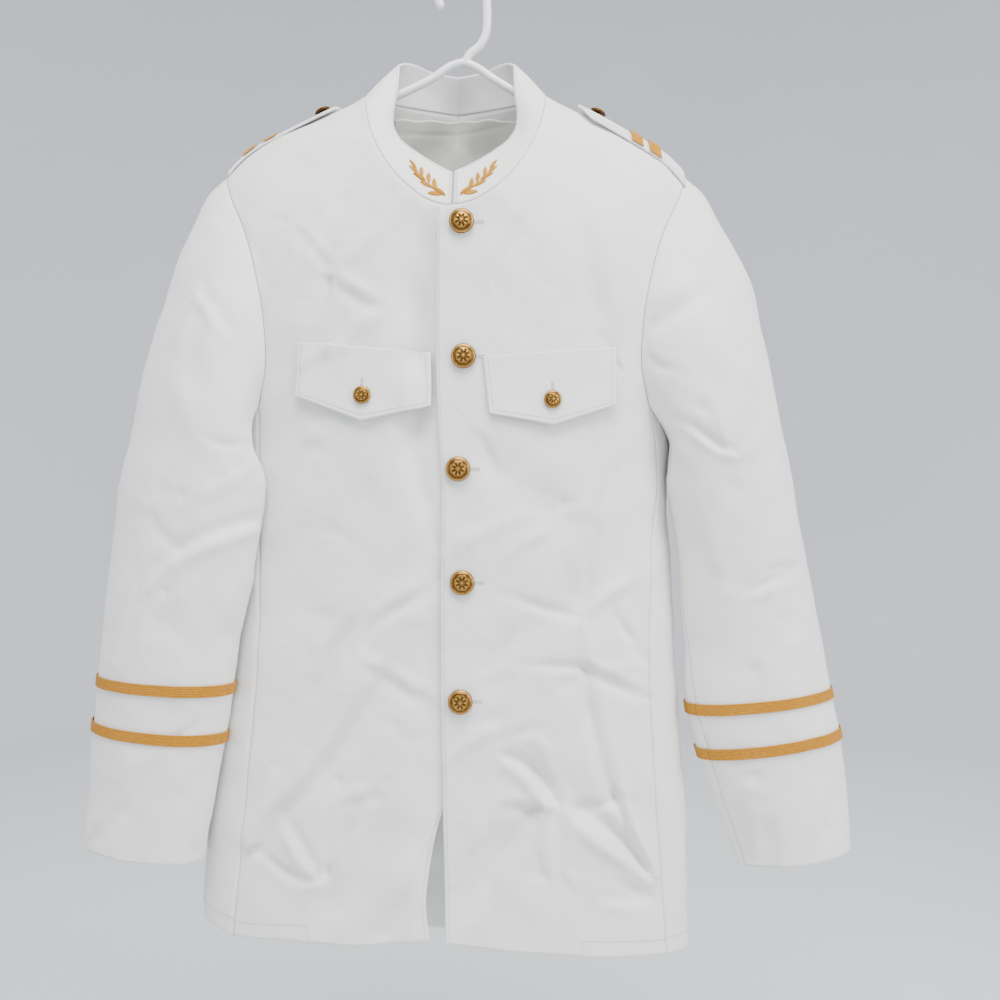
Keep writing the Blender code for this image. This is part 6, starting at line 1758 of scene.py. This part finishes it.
class JACKET_OT_hanger(bpy.types.Operator):
    """White plastic hanger: sloping arms, a swept stem and the hook"""

    bl_idname = "jacket.hanger"
    bl_label = "Hanger"

    def execute(self, context):
        shift = CENTRE_X * np.minimum(1, ARM["x"] / ARM["x"][1])
        right, left = (np.stack([sign * ARM["x"] + shift, 0 * shift, ARM["level"]], -1) for sign in (-1, 1))
        crown = np.array([(-30, 0, APEX_LEVEL - 17.5), (-7, 0, APEX_LEVEL - 3.4), (0, 0, APEX_LEVEL - 1.8),
                          (7, 0, APEX_LEVEL - 3.4), (30, 0, APEX_LEVEL - 17.5)])
        turns = np.radians(np.linspace(-8, 205, 19))
        centre = -(HOOK_RADIUS - HANGER_RADIUS)
        stem = np.array([(2.4, 0, APEX_LEVEL - 2), (6.5, 0, APEX_LEVEL + 6), (16.6, 0, -69.8), (22.5, 0, -58),
                         (24, 0, -44)])
        hook = np.stack([HOOK_RADIUS * np.cos(turns), 0 * turns, centre + HOOK_RADIUS * np.sin(turns)], -1)
        parts = [rod(np.concatenate([right[::-1], crown, left]), 260), rod(np.concatenate([stem, hook]), 150)]
        web = np.array([(-9, 0, APEX_LEVEL - 5.5), (2, 0, APEX_LEVEL + 1), (11, 0, APEX_LEVEL + 9)])
        parts.append(rod(web, 24, 2.6))
        points, faces, uv = joined(parts)
        points = points - np.array([CENTRE_X, 0, 0])
        show("gloss_hanger", points, faces, uv, kept(gloss_plastic), "plastic", "hanger")
        return {"FINISHED"}


def rod(path, count, radius=HANGER_RADIUS):
    """A round rod along a smooth path in the XZ plane, with rounded ends.

    Its point at share s and angle a is p(s) + r(s) (cos a n(s) + sin a Y), n being the path's normal.
    """
    length = np.concatenate([[0], np.cumsum(np.linalg.norm(np.diff(path, axis=0), axis=1))])
    at = np.linspace(0, length[-1], count)
    line = np.stack([smooth(length, path[:, k], at) for k in range(3)], -1)
    ahead = unit(np.gradient(line, axis=0))
    across = np.stack([-ahead[:, 2], 0 * at, ahead[:, 0]], -1)
    cap = radius * np.sin(np.array([0.12, 0.5, 0.9, 1.25]))
    slide = radius * (1 - np.cos(np.array([0.12, 0.5, 0.9, 1.25])))
    first = line[0] + ahead[0] * (slide - radius)[:, None] + ahead[0] * 0
    last = line[-1] + ahead[-1] * (radius - slide[::-1])[:, None]
    line = np.concatenate([first, line, last])
    across = np.concatenate([np.repeat(across[:1], 4, axis=0), across, np.repeat(across[-1:], 4, axis=0)])
    size = np.concatenate([cap, np.full(count, radius), cap[::-1]])
    angle = np.linspace(0, 2 * math.pi, 20, endpoint=False)
    points = line[:, None] + size[:, None, None] * (np.cos(angle)[None, :, None] * across[:, None]
                                                    + np.sin(angle)[None, :, None] * np.array([0, 1.0, 0]))
    faces = grid_faces(len(line), 20, wrap=True).tolist()
    faces += [list(range(20)), list(range(len(line) * 20 - 1, len(line) * 20 - 21, -1))]
    return points.reshape(-1, 3), faces, np.zeros((len(line) * 20, 2))


class JACKET_OT_stage(bpy.types.Operator):
    """Pale studio sweep, soft lights and the camera at the photograph's place"""

    bl_idname = "jacket.stage"
    bl_label = "Studio"

    def execute(self, context):
        studio = context.scene.jacket_studio
        r = np.concatenate([np.linspace(0.02, 3.0, 30), 3.0 + 1.2 * np.sin(np.linspace(0.05, math.pi / 2, 24)),
                            np.full(10, 4.2)])
        h = np.concatenate([np.zeros(30), 1.2 - 1.2 * np.cos(np.linspace(0.05, math.pi / 2, 24)),
                            np.linspace(1.4, 3.4, 10)])
        angle = np.linspace(0, 2 * math.pi, 96, endpoint=False)
        points = np.stack([r[:, None] * np.cos(angle), r[:, None] * np.sin(angle),
                           (h + studio.floor)[:, None] + 0 * angle], -1).reshape(-1, 3)
        faces = grid_faces(len(r), 96, wrap=True).tolist() + [list(range(96))]
        mesh = bpy.data.meshes.new("studio_sweep")
        mesh.from_pydata(points.tolist(), [], faces)
        mesh.shade_smooth()
        mesh.materials.append(kept(studio_paper))
        sweep = bpy.data.objects.new("studio_sweep", mesh)
        context.scene.collection.objects.link(sweep)
        for name, place, aim, size, power in LIGHTS:
            lamp = bpy.data.lights.new(name, "AREA")
            lamp.shape = "RECTANGLE"
            lamp.size, lamp.size_y = size
            lamp.energy = power * studio.brightness
            lamp.color = studio.light_colour
            light = bpy.data.objects.new(name, lamp)
            light.location = place
            light.rotation_euler = (Vector(aim) - Vector(place)).to_track_quat("-Z", "Y").to_euler()
            context.scene.collection.objects.link(light)
        world = bpy.data.worlds.new("studio_air")
        world.use_nodes = True
        world.node_tree.nodes["Background"].inputs["Color"].default_value = (*studio.air, 1)
        world.node_tree.nodes["Background"].inputs["Strength"].default_value = studio.air_strength
        context.scene.world = world
        eye = bpy.data.cameras.new("camera")
        eye.sensor_width = 36
        eye.lens = studio.lens
        camera = bpy.data.objects.new("camera", eye)
        camera.matrix_world = Matrix.Translation(studio.camera) @ Matrix.Rotation(math.radians(90), 4, "X")
        context.scene.collection.objects.link(camera)
        context.scene.camera = camera
        return {"FINISHED"}


class JacketCloth(bpy.types.PropertyGroup):
    """Sizes and colour of the white cloth"""

    grid: bpy.props.FloatProperty(name="Grid", description="Spacing of the cloth's points", default=0.003,
                                  unit="LENGTH")
    colour: bpy.props.FloatVectorProperty(name="Cloth", description="Colour of the white twill", subtype="COLOR",
                                          default=(0.80, 0.80, 0.785), min=0, max=1)


class JacketSewing(bpy.types.PropertyGroup):
    """Sizes of the sewing thread"""

    pitch: bpy.props.FloatProperty(name="Stitch", description="Length of one edge stitch", default=0.0028,
                                   unit="LENGTH")
    thread: bpy.props.FloatProperty(name="Thread", description="Thickness of the thread", default=0.0007,
                                    unit="LENGTH")


class JacketStudio(bpy.types.PropertyGroup):
    """Backdrop, light and camera"""

    floor: bpy.props.FloatProperty(name="Floor", description="Level of the floor", default=-1.35, unit="LENGTH")
    paper: bpy.props.FloatVectorProperty(name="Paper", description="Colour of the backdrop", subtype="COLOR",
                                         default=(0.72, 0.74, 0.78), min=0, max=1)
    air: bpy.props.FloatVectorProperty(name="Air", description="Colour of the surrounding light", subtype="COLOR",
                                       default=(0.92, 0.95, 1.0), min=0, max=1)
    air_strength: bpy.props.FloatProperty(name="Air strength", description="Strength of the surrounding light",
                                          default=0.5, min=0)
    light_colour: bpy.props.FloatVectorProperty(name="Light", description="Colour of the soft lights",
                                                subtype="COLOR", default=(1.0, 0.985, 0.96), min=0, max=1)
    brightness: bpy.props.FloatProperty(name="Brightness", description="Share of the lights' full power", default=1.6,
                                        min=0)
    lens: bpy.props.FloatProperty(name="Lens", description="Focal length in millimetres", default=38.8, min=1)
    camera: bpy.props.FloatVectorProperty(name="Camera", description="Place of the camera", subtype="TRANSLATION",
                                          unit="LENGTH", default=(0.0365, -1.05, -0.512))


class JACKET_PT_panel(bpy.types.Panel):
    """Sizes, colours and pieces of the jacket"""

    bl_idname = "JACKET_PT_panel"
    bl_label = "Naval officer jacket"
    bl_space_type = "VIEW_3D"
    bl_region_type = "UI"
    bl_category = "Jacket"

    def draw(self, context):
        for group in (context.scene.jacket_cloth, context.scene.jacket_sewing, context.scene.jacket_studio):
            box = self.layout.box()
            for name in group.bl_rna.properties.keys():
                if name not in ("rna_type", "name"):
                    box.prop(group, name)
        for operator in OPERATORS:
            self.layout.operator(operator.bl_idname)


OPERATORS = (JACKET_OT_body, JACKET_OT_sleeves, JACKET_OT_collar, JACKET_OT_flaps, JACKET_OT_straps,
             JACKET_OT_braids, JACKET_OT_buttons, JACKET_OT_sprigs, JACKET_OT_sewing, JACKET_OT_hanger,
             JACKET_OT_stage)
GROUPS = {"jacket_cloth": JacketCloth, "jacket_sewing": JacketSewing, "jacket_studio": JacketStudio}


def register():
    for made in (*GROUPS.values(), *OPERATORS, JACKET_PT_panel):
        bpy.utils.register_class(made)
    for name, group in GROUPS.items():
        setattr(bpy.types.Scene, name, bpy.props.PointerProperty(type=group))


def unregister():
    for name in GROUPS:
        delattr(bpy.types.Scene, name)
    for made in (JACKET_PT_panel, *reversed(OPERATORS), *GROUPS.values()):
        bpy.utils.unregister_class(made)


def main():
    """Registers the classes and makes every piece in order."""
    register()
    for operator in OPERATORS:
        group, name = operator.bl_idname.split(".")
        getattr(getattr(bpy.ops, group), name)()


if __name__ == "__main__":
    main()
